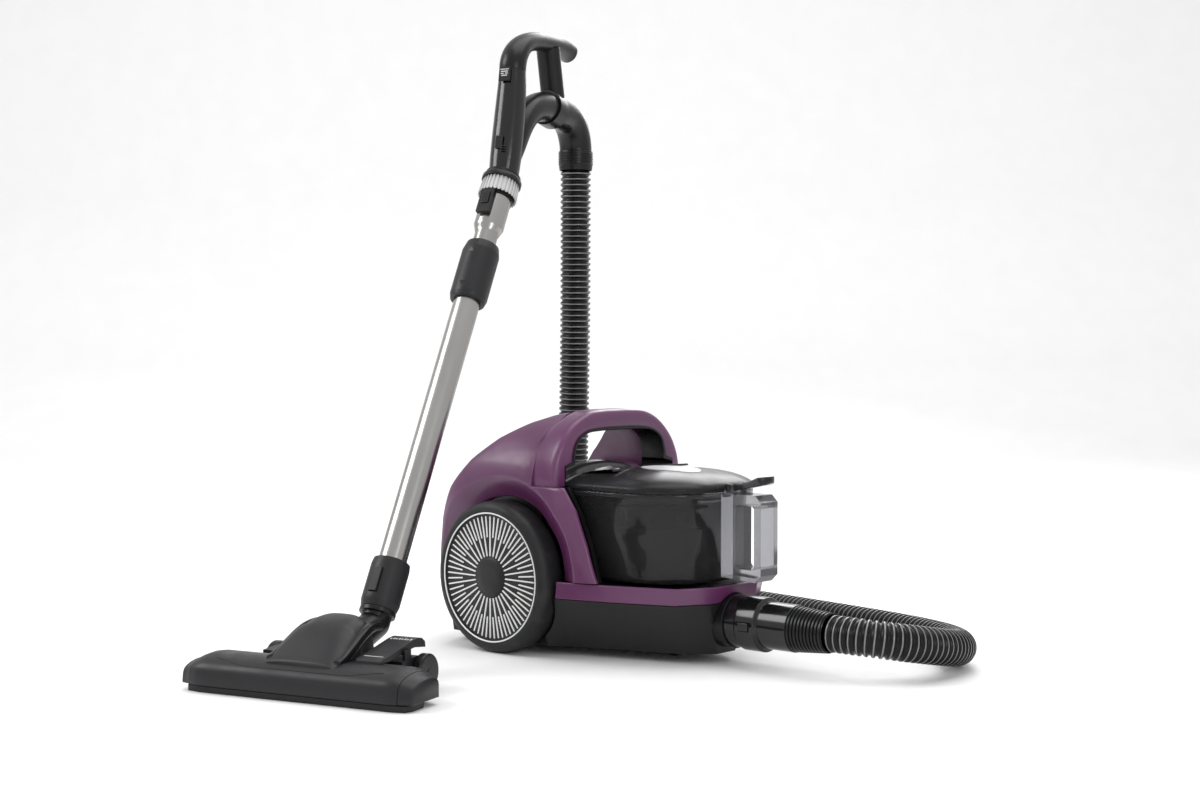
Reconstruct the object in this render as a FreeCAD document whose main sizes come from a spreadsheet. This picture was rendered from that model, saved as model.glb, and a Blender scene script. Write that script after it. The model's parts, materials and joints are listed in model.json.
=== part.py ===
import FreeCAD, Part
import math
import os
import Sketcher

# A bagless canister vacuum cleaner with its hose, telescopic wand and floor head.
# Three drawing frames, millimetres, +Z up:
#   canister  origin on the floor under the rear axle, +X towards the hose inlet
#   head      origin on the floor under the neck pivot, +Y away from the head's front edge
#   wand      origin at the swivel elbow, +Z along the wand; the grip frame is bent off it
# place() moves each finished piece from its own frame into the row's frame.

os.makedirs("parts", exist_ok=True)
doc = FreeCAD.newDocument("canister_vacuum")
sheet = doc.addObject("Spreadsheet::Sheet", "Sizes")
Vec = FreeCAD.Vector
X_AXIS, Y_AXIS, Z_AXIS = Vec(1, 0, 0), Vec(0, 1, 0), Vec(0, 0, 1)


# ---------------------------------------------------------------- sizes

class Size:
    """A number from the sheet together with the expression that gives it."""

    def __init__(self, value, text):
        self.value = value
        self.text = text

    def __add__(self, other):
        return Size(self.value + num(other), f"({self.text} + {words(other)})")

    def __sub__(self, other):
        return Size(self.value - num(other), f"({self.text} - {words(other)})")

    def __mul__(self, other):
        return Size(self.value * num(other), f"({self.text} * {words(other)})")

    def __neg__(self):
        return Size(-self.value, f"(-1 * {self.text})")


def num(amount):
    """The plain number behind a Size or a number."""
    return amount.value if isinstance(amount, Size) else amount


def words(amount):
    """The expression text behind a Size or a number."""
    return amount.text if isinstance(amount, Size) else f"({amount})"


DRIVING = {
    # canister
    "axle_height": 90.0,
    "wheel_radius": 90.0,
    "ring_radius": 77.0,
    "wheel_outer": 140.0,
    "wheel_inner": 106.0,
    "arch_radius": 94.0,
    "fender_radius": 118.0,
    "fender_outer": 138.0,
    "axle_radius": 6.0,
    "tray_bottom": 12.0,
    "tray_top": 72.0,
    "band_top": 92.0,
    "seam": 0.3,
    "wall": 3.0,
    "deck_half": 97.0,
    "bin_bottom": 93.5,
    "bin_top": 196.0,
    "bin_wall": 2.5,
    "handle_front": 84.0,
    "handle_rear": 50.0,
    "inlet_height": 50.0,
    "socket_bore": 20.3,
    "spigot_radius": 20.2,
    "caster_place": 178.0,
    "caster_radius": 13.0,
    "motor_height": 118.0,
    "motor_radius": 36.0,
    "reel_place": -84.0,
    "reel_height": 76.0,
    # hose
    "hose_radius": 20.5,
    # floor head
    "head_half": 143.0,
    "head_front": -95.0,
    "sole_top": 7.0,
    "pivot_height": 36.0,
    "knuckle_radius": 19.0,
    "head_wheel_radius": 20.0,
    # wand
    "tube_radius": 16.0,
    "inner_tube_radius": 14.2,
    "socket_radius": 18.5,
    "sleeve_radius": 23.0,
    "adapter_radius": 22.0,
    "grip_start": 597.0,
}
for row, (alias, amount) in enumerate(DRIVING.items(), start=1):
    sheet.set(f"A{row}", alias)
    sheet.set(f"B{row}", str(amount))
    sheet.setAlias(f"B{row}", alias)
doc.recompute()


def size(alias):
    return Size(DRIVING[alias], f"Sizes.{alias}")


# ---------------------------------------------------------------- frames

SHIFT = Vec(-116.7, 165.3, 0)            # centres the row on its own footprint
HEAD_PLACE = Vec(26.3, -386, 0)
HEAD_TURN = 16.5
ELBOW_POINT = Vec(0, 66, 58)
WAND_LEAN = 30.0
GRIP_BEND = 20.0


def turned(axis, degrees, base=Vec(0, 0, 0)):
    return FreeCAD.Placement(base, FreeCAD.Rotation(axis, degrees))


CANISTER = FreeCAD.Placement(SHIFT, FreeCAD.Rotation())
HEAD = CANISTER.multiply(turned(Z_AXIS, HEAD_TURN, HEAD_PLACE))
WAND = HEAD.multiply(turned(X_AXIS, -WAND_LEAN, ELBOW_POINT))
GRIP = WAND.multiply(turned(X_AXIS, GRIP_BEND, Vec(0, 0, DRIVING["grip_start"])))

nodes = []


def place(piece, label, frame, local=FreeCAD.Placement()):
    """Name a finished piece and move it from its own frame into the row's."""
    own = piece.Placement
    for axis in "xyz":
        piece.setExpression(f"Placement.Base.{axis}", None)
    piece.Label = label
    piece.Placement = frame.multiply(local).multiply(own)
    nodes.append(piece)
    return piece


# ---------------------------------------------------------------- building blocks

def bind(piece, prop, amount):
    """Drive a property from the sheet, or set it where the amount is a plain number."""
    if isinstance(amount, Size):
        piece.setExpression(prop, amount.text)
    elif "." not in prop:
        setattr(piece, prop, amount)
    else:
        piece.setExpression(prop, str(amount))


def plane_of(body, role):
    return [item for item in body.Origin.OriginFeatures if item.Role == role][0]


def outline(body, role, points, offset=0):
    """A closed, fully placed polygon sketch; each corner is measured from the sketch's origin."""
    sketch = body.newObject("Sketcher::SketchObject", "Outline")
    sketch.AttachmentSupport = [(plane_of(body, role), "")]
    sketch.MapMode = "FlatFace"
    bind(sketch, "AttachmentOffset.Base.z", offset)
    flat = [Vec(num(x), num(y), 0) for x, y in points]
    count = len(flat)
    for index in range(count):
        sketch.addGeometry(Part.LineSegment(flat[index], flat[(index + 1) % count]))
    for index in range(count):
        sketch.addConstraint(Sketcher.Constraint("Coincident", index, 2, (index + 1) % count, 1))
    for index, corner in enumerate(points):
        for kind, amount in zip(("DistanceX", "DistanceY"), corner):
            rule = Sketcher.Constraint(kind, -1, 1, index, 1, num(amount))
            number = sketch.addConstraint(rule)
            if isinstance(amount, Size):
                sketch.setExpression(f"Constraints[{number}]", amount.text)
    return sketch


def prism(role, points, low, high):
    """A body padded from an outline, between two distances along the drawing plane's axis."""
    body = doc.addObject("PartDesign::Body", "Prism")
    if role == "XZ_Plane":
        start = -high if isinstance(high, Size) else -1 * high
    else:
        start = low
    sketch = outline(body, role, points, start)
    pad = body.newObject("PartDesign::Pad", "Pad")
    pad.Profile = sketch
    bind(pad, "Length", high - low)
    return body


def pocket(body, role, points, offset, depth):
    """Cut an outline out of a body, from offset towards the drawing plane's back."""
    sketch = outline(body, role, points, offset)
    hole = body.newObject("PartDesign::Pocket", "Pocket")
    hole.Profile = sketch
    bind(hole, "Length", depth)
    return body


def lathe(points):
    """A body turned about Z from (radius, height) corners."""
    body = doc.addObject("PartDesign::Body", "Turned")
    sketch = outline(body, "XZ_Plane", points)
    turn = body.newObject("PartDesign::Revolution", "Turn")
    turn.Profile = sketch
    turn.ReferenceAxis = (sketch, ["V_Axis"])
    turn.Angle = 360
    return body


def box(low, high):
    block = doc.addObject("Part::Box", "Block")
    for prop, start, end in zip(("Length", "Width", "Height"), low, high):
        bind(block, prop, end - start if isinstance(end, Size) else Size(num(end), words(end)) - start)
    block.Placement.Base = Vec(*(num(start) for start in low))
    return block


def rod(radius, length, base=Vec(0, 0, 0), direction=Z_AXIS):
    """A cylinder of this radius and length, from base along direction."""
    bar = doc.addObject("Part::Cylinder", "Rod")
    bind(bar, "Radius", radius)
    bind(bar, "Height", length)
    bar.Placement = FreeCAD.Placement(base, FreeCAD.Rotation(Z_AXIS, direction))
    return bar


def joined(*pieces):
    group = doc.addObject("Part::MultiFuse", "Joined")
    group.Shapes = list(pieces)
    group.Refine = True
    return group


def without(piece, *tools):
    rest = doc.addObject("Part::Cut", "Rest")
    rest.Base = piece
    rest.Tool = tools[0] if len(tools) == 1 else joined(*tools)
    return rest


def shared(first, second):
    overlap = doc.addObject("Part::MultiCommon", "Shared")
    overlap.Shapes = [first, second]
    return overlap


def solid(shape):
    """A document object for a shape made in code."""
    piece = doc.addObject("Part::Feature", "Solid")
    piece.Shape = shape
    return piece


def polygon(points, height):
    corners = [Vec(x, y, height) for x, y in points]
    return Part.makePolygon(corners + corners[:1])


def mirrored(points):
    """Close a half outline, drawn at negative y, with its mirror image."""
    return points + [(x, -y) for x, y in reversed(points)]


def hull(low, high, bottom, top):
    """A solid between two outlines with the same number of corners."""
    return Part.makeLoft([polygon(low, bottom), polygon(high, top)], True, True)


def inset(wire, amount):
    return wire.makeOffset2D(-amount, 2)


# ---------------------------------------------------------------- canister: rear wheels

SIDES = (("right", -1), ("left", 1))


def wheel_frame(side):
    """Turns a lathed piece so that its Z runs outwards along the rear axle."""
    return turned(X_AXIS, -90 * side, Vec(0, 0, DRIVING["axle_height"]))


def rear_wheel(name, side):
    outer, inner = size("wheel_outer"), size("wheel_inner")
    tread, ring = size("wheel_radius"), size("ring_radius")
    bore = size("axle_radius") + 0.05
    tyre = lathe([(ring + 0.2, inner), (tread - 3, inner), (tread, inner + 4), (tread, outer - 5),
                  (tread - 4, outer), (ring + 0.2, outer)])
    disc = lathe([(bore, inner + 2), (14, inner + 2), (14, outer - 6), (ring - 5, outer - 6),
                  (ring - 5, inner + 4), (ring, inner + 4), (ring, outer - 1), (22, outer - 1),
                  (20, outer + 1), (0, outer + 1), (0, outer - 4), (bore, outer - 4)])
    place(tyre, f"wheel_tyre_{name}", CANISTER, wheel_frame(side))
    place(disc, f"wheel_disc_{name}", CANISTER, wheel_frame(side))


def rear_axles():
    """The two stub axles, each with the block that carries it inside the shell."""
    stubs = []
    for _, side in SIDES:
        start = Vec(0, 80 * side, DRIVING["axle_height"])
        near = 76 if side > 0 else -94
        block = box((-15, near, size("tray_top") + 0.3), (15, near + 18, size("axle_height") + 16))
        stubs += [rod(size("axle_radius"), 53, start, Y_AXIS * side), block]
    place(joined(*stubs), "rear_axles", CANISTER)


# ---------------------------------------------------------------- canister: shells

TRAY_FOOT = [(-118, -55), (-104, -98), (44, -101), (52, -122),
             (86, -92), (155, -66), (222, -42), (246, -17)]
TRAY_RIM = [(-126, -62), (-112, -101), (60, -103), (62, -127),
            (100, -124), (160, -108), (235, -80), (256, -40)]
BAND_FOOT = TRAY_RIM[3:]
BAND_RIM = [(62, -127), (100, -124), (162, -110), (240, -80), (261, -40)]
NOSE_START = 225


def wheel_wells(radius, inner=103):
    """Solids that clear both rear wheels."""
    middle = DRIVING["axle_height"]
    wells = [Part.makeCylinder(radius, 45, Vec(0, inner * side, middle), Y_AXIS * side)
             for _, side in SIDES]
    return wells[0].fuse(wells[1])


def inlet_bore(radius):
    return Part.makeCylinder(radius, 60, Vec(NOSE_START, 0, DRIVING["inlet_height"]), X_AXIS)


def inset_points(points, amount):
    wire = inset(polygon(mirrored(points), 0), amount)
    return wire


def base_tray():
    bottom, top, wall = DRIVING["tray_bottom"], DRIVING["tray_top"], DRIVING["wall"]
    outer = hull(mirrored(TRAY_FOOT), mirrored(TRAY_RIM), bottom, top)
    low, high = inset_points(TRAY_FOOT, wall), inset_points(TRAY_RIM, wall)
    low.translate(Vec(0, 0, bottom + wall))
    high.translate(Vec(0, 0, top + 1))
    hollow = Part.makeLoft([low, high], True, True)
    arch = DRIVING["arch_radius"]
    hollow = hollow.cut(wheel_wells(arch + wall, 98))
    pocket_place = Vec(DRIVING["caster_place"], 0, bottom)
    cup = Part.makeCylinder(27, 36, pocket_place)
    recess = Part.makeCylinder(24, 44, Vec(DRIVING["caster_place"], 0, 0))
    stem_hole = Part.makeCylinder(5.05, 60, Vec(DRIVING["caster_place"], 0, 0))
    tray = outer.cut(hollow).cut(wheel_wells(arch)).fuse(cup)
    tray = tray.cut(recess).cut(stem_hole).cut(inlet_bore(31.3))
    for low in (-143, 103):
        tray = tray.cut(Part.makeBox(30, 40, 60, Vec(38, low, 0)))
    return place(solid(tray), "base_tray", CANISTER)


def front_band():
    low, high = DRIVING["tray_top"] + DRIVING["seam"], DRIVING["band_top"]
    outer = hull(mirrored(BAND_FOOT), mirrored(BAND_RIM), low, high)
    foot, rim = inset_points(BAND_FOOT, 4), inset_points(BAND_RIM, 4)
    foot.translate(Vec(0, 0, low - 1))
    rim.translate(Vec(0, 0, high + 1))
    hollow = Part.makeLoft([foot, rim], True, True)
    back = Part.makeBox(20, 206, 30, Vec(50, -103, low - 2))
    wells = wheel_wells(DRIVING["arch_radius"])
    band = outer.cut(hollow).cut(back).cut(wells).cut(inlet_bore(31.3))
    return place(solid(band), "front_band", CANISTER)


BAY_FLOOR = [(55.2, -97.5), (66, -97.5), (66, -96), (150, -96), (226, -70), (246, -34)]
CHEEK = [(95, 92.4), (143, 92.4), (140, 100), (130, 132), (113, 170), (94, 199), (56, 199),
         (56, 168), (70, 160)]


def bin_bay():
    """The black moulding that holds the bin: floor, rear wall and two cheeks."""
    floor = prism("XY_Plane", mirrored(BAY_FLOOR), 85, 90)
    wall = box((55.2, -98.5, 76), (59.6, 98.5, 189))
    port = rod(30, 20, Vec(50, 0, 130), X_AXIS)
    cheeks = [prism("XZ_Plane", CHEEK, low, low + 4.6) for low in (-102.6, 98)]
    return place(without(joined(floor, wall, *cheeks), port), "bin_bay", CANISTER)


SHELL_SIDE = [(-129, 76), (-127, 104), (-112, 150), (-90, 186), (-58, 214), (-22, 236), (20, 253),
              (49.7, 262), (49.7, 199.7), (97, 199.7), (117, 174), (135, 134), (146, 100),
              (149, 92.4), (64, 92.4), (64, 76)]
SHELL_SECTION = [(127, 74), (127, 118), (121, 170), (113, 216), (99, 250), (91, 264), (83, 264),
                 (90, 246), (101, 212), (108, 168), (114, 118), (114, 74)]


REAR_CORNER = [(-84, 150), (-129, 112), (-150, 112), (-150, 150)]


def side_shell(name, side):
    """One purple side: a leaning wall with the fender around the wheel."""
    profile = prism("XZ_Plane", SHELL_SIDE, -145, 145)
    section = prism("YZ_Plane", [(y * side, z) for y, z in SHELL_SECTION], -140, 160)
    wall = shared(profile, section)
    middle = Vec(0, 114 * side, DRIVING["axle_height"])
    depth = size("fender_outer") - 114
    fender = rod(size("fender_radius"), depth, middle, Y_AXIS * side)
    lower = box((-150, -150, -40), (150, 150, 76))
    front = box((64, -150, -40), (150, 150, 92.4))
    well = rod(size("arch_radius"), 60, Vec(0, 102 * side, DRIVING["axle_height"]), Y_AXIS * side)
    corner = [(x, y * side) for x, y in REAR_CORNER]
    shell = without(joined(wall, fender), well, lower, front, prism("XY_Plane", corner, 60, 300))
    return place(shell, f"side_shell_{name}", CANISTER)


DECK_TILT = math.degrees(math.atan2(178 - 142, 90 - 22))
BUTTON_RADIUS = 17
BUTTON_PLACES = (("power_button", -52), ("rewind_button", 52))


def deck_point(x):
    """A point on the deck's middle slope."""
    return Vec(x, 0, 178 - (-22 - x) * math.tan(math.radians(DECK_TILT)))


def deck_frame(x, y):
    """Origin on the deck with Z square to its slope."""
    return turned(Y_AXIS, -DECK_TILT, deck_point(x) + Vec(0, y, 0))


FIN_LINER = [(-123, 76), (-121, 103), (-107, 147), (-86, 182), (-56, 208), (49.5, 210), (49.5, 76)]


def rear_deck():
    """The black cover between the side shells, with its two upright inner fins."""
    points = [(49.5, 197), (-22, 178), (-90, 142), (-122, 106), (-127, 76), (-124, 76),
              (-119, 105), (-88, 139), (-21, 175), (49.5, 194)]
    deck = prism("XZ_Plane", points, -98.5, 98.5)
    holes = []
    for _, y in BUTTON_PLACES:
        hole = rod(BUTTON_RADIUS + 0.4, 24)
        hole.Placement = deck_frame(-56, y).multiply(turned(Z_AXIS, 0, Vec(0, 0, -12)))
        holes.append(hole)
    outlet = rod(6.2, 30, Vec(-140, 50, 90), X_AXIS)
    tilt = math.degrees(math.atan2(142 - 106, 122 - 90))
    for index in range(7):
        slot = box((-10, -2.4, -12), (10, 2.4, 12))
        slot.Placement = turned(Y_AXIS, -tilt, Vec(-106, 9 * index - 27, 124)).multiply(slot.Placement)
        holes.append(slot)
    fins = [prism("XZ_Plane", FIN_LINER, low, low + 3) for low in (-101, 98)]
    seat = rod(9.4, 10, Vec(-135, 50, 90), X_AXIS)
    axle_hole = rod(6.3, 220, Vec(0, -110, DRIVING["axle_height"]), Y_AXIS)
    skins = joined(deck, *fins)
    return place(without(skins, *holes, outlet, seat, axle_hole), "rear_deck", CANISTER)


def deck_buttons():
    for label, y in BUTTON_PLACES:
        button = lathe([(0, -6), (BUTTON_RADIUS, -6), (BUTTON_RADIUS, 2.5), (BUTTON_RADIUS - 2, 4),
                        (0, 4)])
        place(button, label, CANISTER, deck_frame(-56, y))


def cord_outlet():
    """The grommet that the mains cord leaves through; the cord itself isn't part of the row."""
    ring = lathe([(3.6, 0), (6, 0), (6, 5.6), (9, 5.6), (9, 9), (3.6, 9)])
    return place(ring, "cord_outlet", CANISTER, turned(Y_AXIS, -90, Vec(-119.5, 50, 90)))


ARCH_OUTER = [(-115.5, 200), (-113, 216), (-94, 258), (-50, 285), (-38, 287)]
ARCH_INNER = [(-82, 200), (-82, 240), (-62, 263)]


def carry_handle():
    """The arch over the front of the deck, with the hand's opening under it."""
    profile = across(ARCH_OUTER) + across(ARCH_INNER)[::-1]
    arch = prism("YZ_Plane", profile, size("handle_rear"), size("handle_front"))
    lid_way = box((61.5, -96.8, 190), (90, 96.8, 223.5))
    return place(without(arch, lid_way), "carry_handle", CANISTER)


def lid_duct():
    """The outlet duct that leads from the lid under the carrying handle to the motor."""
    points = [(28, 197.2), (57, 199.6), (57, 222), (46, 224), (28, 212)]
    return place(prism("XZ_Plane", points, -36, 36), "outlet_duct", CANISTER)


# ---------------------------------------------------------------- canister: inside

def motor():
    """The fan motor lies along X behind the bin."""
    axis = turned(Y_AXIS, 90, Vec(0, 0, DRIVING["motor_height"]))
    radius = size("motor_radius")
    housing = lathe([(4.05, -46), (radius, -46), (radius, 40), (radius - 2.5, 40),
                     (radius - 2.5, 8), (21.5, 8), (21.5, -38), (4.05, -38)])
    rotor = lathe([(0, -47), (4, -47), (4, -36), (20, -36), (20, 6), (4, 6), (4, 34), (0, 34)])
    fan = lathe([(4, 14), (12, 14), (12, 18), (30, 18), (30, 20), (14, 28), (8, 32), (4, 32)])
    place(housing, "motor_housing", CANISTER, axis)
    place(joined(rotor, fan), "motor_rotor", CANISTER, axis)
    inlet_filter = rod(29, 7, Vec(47, 0, 130), X_AXIS)
    outlet_filter = box((-30, 50, 84), (30, 72, 124))
    place(joined(inlet_filter, outlet_filter), "motor_filters", CANISTER)


def cord_reel():
    """The spring reel for the mains cord, on its axle across the rear."""
    centre = Vec(DRIVING["reel_place"], 0, DRIVING["reel_height"])
    axis = turned(X_AXIS, -90, centre)
    drum = lathe([(5.05, -38), (30, -38), (30, -35), (17, -35), (17, 35), (30, 35), (30, 38),
                  (5.05, 38)])
    axle = rod(5, 92, centre - Y_AXIS * 46, Y_AXIS)
    place(drum, "cord_drum", CANISTER, axis)
    arms = [box((-92, low, 15.4), (-76, low + 3, 86)) for low in (-44, 41)]
    place(joined(axle, *arms), "reel_stand", CANISTER)


def caster():
    """The swivelling front wheel in its recess."""
    radius = size("caster_radius")
    spot = Vec(DRIVING["caster_place"], 0, 0)
    trail = -6
    head = rod(18, 4, Vec(0, 0, 33))
    stem = rod(5, 15, Vec(0, 0, 36))
    cheeks = [box((trail - 6, low, 8), (trail + 6, low + 3, 34)) for low in (-9.5, 6.5)]
    pin = rod(1.98, 19, Vec(trail, -9.5, DRIVING["caster_radius"]), Y_AXIS)
    fork = joined(head, stem, pin, *cheeks)
    wheel = lathe([(2.05, -6), (radius - 1, -6), (radius, -5), (radius, 5), (radius - 1, 6), (2.05, 6)])
    middle = turned(X_AXIS, -90, spot + Vec(trail, 0, DRIVING["caster_radius"]))
    place(fork, "caster_fork", CANISTER, turned(Z_AXIS, 0, spot))
    place(wheel, "caster_wheel", CANISTER, middle)


# ---------------------------------------------------------------- canister: dust bin

def bin_wire(inset_by, height):
    """The bin's plan outline: flat back, straight sides and a round front."""
    half = [Vec(66, -72, 0), Vec(73, -88, 0), Vec(90, -94, 0), Vec(176, -94, 0),
            Vec(229, -71, 0), Vec(248, -24, 0), Vec(250, 0, 0)]
    flip = [Vec(p.x, -p.y, 0) for p in half]
    arcs = [(half[0], half[1], half[2]), (half[3], half[4], half[5]), (half[5], half[6], flip[5]),
            (flip[5], flip[4], flip[3]), (flip[2], flip[1], flip[0])]
    edges = [Part.Arc(*points).toShape() for points in arcs]
    edges.insert(1, Part.LineSegment(half[2], half[3]).toShape())
    edges.insert(5, Part.LineSegment(flip[3], flip[2]).toShape())
    edges.append(Part.LineSegment(flip[0], half[0]).toShape())
    wire = Part.Wire(edges)
    if inset_by:
        wire = wire.makeOffset2D(-inset_by)
    wire.translate(Vec(0, 0, height))
    return wire


def bin_cup():
    bottom, top, wall = DRIVING["bin_bottom"], DRIVING["bin_top"], DRIVING["bin_wall"]
    taper = 7
    outer = Part.makeLoft([bin_wire(taper, bottom), bin_wire(0, top)], True, True)
    hollow = Part.makeLoft([bin_wire(taper + wall, bottom + wall), bin_wire(wall, top + 1)], True, True)
    cup = outer.cut(hollow)
    for _, side in SIDES:
        for y in (46, 58.3):
            low = y if side > 0 else -y - 4
            ear = Part.makeBox(6.2, 4, 15.5, Vec(57, low, 190.5))
            foot = Part.makeBox(10.5, 4, 4.5, Vec(57, low, 190.5))
            cup = cup.fuse(ear.fuse(foot))
        pin = Part.makeCylinder(2, 16.3, Vec(61, 46 if side > 0 else -62.3, 202), Y_AXIS)
        cup = cup.fuse(pin)
    return place(solid(cup), "bin_cup", CANISTER)


def bin_lid():
    """The domed lid with its two hinge knuckles."""
    rim, top = DRIVING["bin_top"] + 1, 219
    outer = Part.makeLoft([bin_wire(-1.5, rim), bin_wire(-1.5, rim + 6), bin_wire(14, top - 6),
                           bin_wire(36, top)], True, True)
    hollow = Part.makeLoft([bin_wire(1.5, rim - 1), bin_wire(1.5, rim + 4), bin_wire(16, top - 9),
                            bin_wire(37, top - 2.5)], True, True)
    lid = outer.cut(hollow)
    for _, side in SIDES:
        start = 50.4 if side > 0 else -57.9
        knuckle = Part.makeCylinder(4, 7.5, Vec(61, start, 202), Y_AXIS)
        arm = Part.makeBox(5, 7.5, 4, Vec(61, start, 200))
        lid = lid.fuse(knuckle).fuse(arm)
    pin_hole = Part.makeCylinder(2.05, 140, Vec(61, -70, 202), Y_AXIS)
    place(solid(lid.cut(pin_hole)), "bin_lid", CANISTER)


def bin_handle():
    plate = prism("XZ_Plane", [(250.8, 101), (299, 98), (307, 106), (307, 188), (299, 196),
                               (250.8, 196)], -16, 16)
    window = [(273, 112), (294, 112), (297, 115), (297, 181), (294, 184), (273, 184), (270, 181),
              (270, 115)]
    pocket(plate, "XZ_Plane", window, 17, 34)
    ears = [box((255, low, 194), (265, low + 4, 207)) for low in (-15, 11)]
    pin = rod(2, 30, Vec(260, -15, 202.5), Y_AXIS)
    place(joined(plate, pin, *ears), "bin_handle", CANISTER)
    lever = prism("XZ_Plane", [(255.5, 198.5), (263, 198.5), (300, 206), (322, 211), (321, 214),
                               (298, 211), (263, 207), (255.5, 207)], -10.5, 10.5)
    lever_bore = rod(2.05, 40, Vec(260, -20, 202.5), Y_AXIS)
    place(without(lever, lever_bore), "release_lever", CANISTER)


CYCLONE_PLACE = Vec(148, 0, 0)


def cyclone():
    """The cyclone inside the bin: a cone under a perforated shroud, and the lid's filter."""
    spot = turned(Z_AXIS, 0, CYCLONE_PLACE)
    cone = lathe([(34, 100), (37, 100), (50, 148), (50, 152.5), (41, 152.5), (41, 180), (56, 184),
                  (56, 187), (38, 187), (38, 150), (46, 150)])
    holes = []
    for index in range(12):
        angle = math.radians(30 * index)
        spoke = Vec(math.cos(angle), math.sin(angle), 0)
        holes.append(rod(4, 12, Vec(0, 0, 166) + spoke * 34, spoke))
    pleats = lathe([(0, 189), (44, 189), (44, 205), (0, 205)])
    place(without(cone, *holes), "cyclone", CANISTER, spot)
    place(pleats, "lid_filter", CANISTER, spot)


# ---------------------------------------------------------------- canister: hose inlet

def inlet_parts():
    """The socket in the nose and the cuff that turns in it."""
    axis = turned(Y_AXIS, 90, Vec(0, 0, DRIVING["inlet_height"]))
    bore, spigot = size("socket_bore"), size("spigot_radius")
    socket = lathe([(bore, 232), (31, 232), (31, 264), (bore, 264)])
    cuff = lathe([(17, 236), (spigot, 236), (spigot, 264.4), (29, 264.4), (29, 279), (31, 281),
                  (31, 306), (26.5, 308), (26.5, 347), (17, 347)])
    notches = [box((286, low, 45), (301, low + 8.2, 55)) for low in (-33, 24.8)]
    cuff.Placement = axis
    place(without(cuff, *notches), "hose_cuff", CANISTER)
    place(socket, "inlet_socket", CANISTER, axis)
    for name, side in SIDES:
        low = 27.4 if side > 0 else -32.4
        latch = box((286.5, low, 45.5), (300.5, low + 5, 54.5))
        place(latch, f"cuff_latch_{name}", CANISTER)
    ribs = [(21, 347.2)]
    for index in range(5):
        x = 347.2 + 9 * index
        ribs += [(25.5, x), (25.5, x + 6), (23.5, x + 6), (23.5, x + 9)]
    ribs += [(21, 392.2)]
    place(lathe(ribs), "cuff_sleeve", CANISTER, axis)


# ---------------------------------------------------------------- floor head

def across(points):
    """Close a half outline, drawn at positive x, with its mirror image."""
    return points + [(-x, y) for x, y in reversed(points)]


HEAD_FOOT = [(120, -95), (138, -91), (143, -80), (142, -54), (124, -26)]
HEAD_CROWN = [(112, -80), (126, -76), (133, -66), (133, -52), (118, -34)]
DOME_FOOT = [(44, -66), (36, 22)]
DOME_CROWN = [(27, -28), (30, 18)]
CAP_START = 127.8


def cover_solid(shrink):
    """The head's outer form, or the same form drawn in by shrink for its hollow."""
    def section(points, height):
        wire = polygon(across(points), height)
        return inset(wire, shrink) if shrink else wire
    foot = 7.2 if not shrink else 6
    body = Part.makeLoft([section(HEAD_FOOT, foot), section(HEAD_FOOT, 19),
                          section(HEAD_CROWN, 38 - shrink)], True, True)
    dome = Part.makeLoft([section(DOME_FOOT, foot), section(DOME_FOOT, 36 - shrink),
                          section(DOME_CROWN, 76 - shrink)], True, True)
    return body.fuse(dome)


def head_shells():
    shell = cover_solid(0).cut(cover_solid(3))
    slot = Part.makeBox(57.4, 60, 80, Vec(-28.7, 4, 0))
    middle = Part.makeBox(2 * CAP_START, 200, 100, Vec(-CAP_START, -100, 0))
    bridge_gap = Part.makeBox(130, 10.8, 4.4, Vec(-65, 1.6, 7))
    cover = shell.cut(slot).cut(bridge_gap).common(middle)
    place(solid(cover), "head_cover", HEAD)
    between = Part.makeBox(2 * CAP_START + 0.6, 200, 100, Vec(-CAP_START - 0.3, -100, 0))
    place(solid(shell.cut(between)), "head_end_caps", HEAD)


def head_sole():
    half = [(118, -90), (134, -87), (138, -78), (137, -56), (121, -29)]
    sole = prism("XY_Plane", across(half), 0, size("sole_top") - 0.2)
    cuts = [(104, -64, -46), (111, -81, -73), (111, -39, -31)]
    for half_x, low, high in cuts:
        slot = [(-half_x, low), (half_x, low), (half_x, high), (-half_x, high)]
        pocket(sole, "XY_Plane", slot, 12, 24)
    tunnel = without(box((-22, -66.5, 4), (22, -43.5, 32)), box((-19, -64, 3), (19, -40, 29)))
    place(joined(sole, tunnel), "head_sole", HEAD)


def brush_strips():
    """The two bristle strips that the pedal lifts, on one frame."""
    strips = []
    for low in (-79.6, -37.6):
        strips.append(box((-109.5, low, 0.6), (109.5, low + 5.2, 14)))
    for low in (-109.5, 105.5):
        strips.append(box((low, -79.6, 10), (low + 4, -32.4, 14)))
    place(joined(*strips), "brush_strips", HEAD)


PEDAL_PIVOT = (-6, 43)


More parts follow.
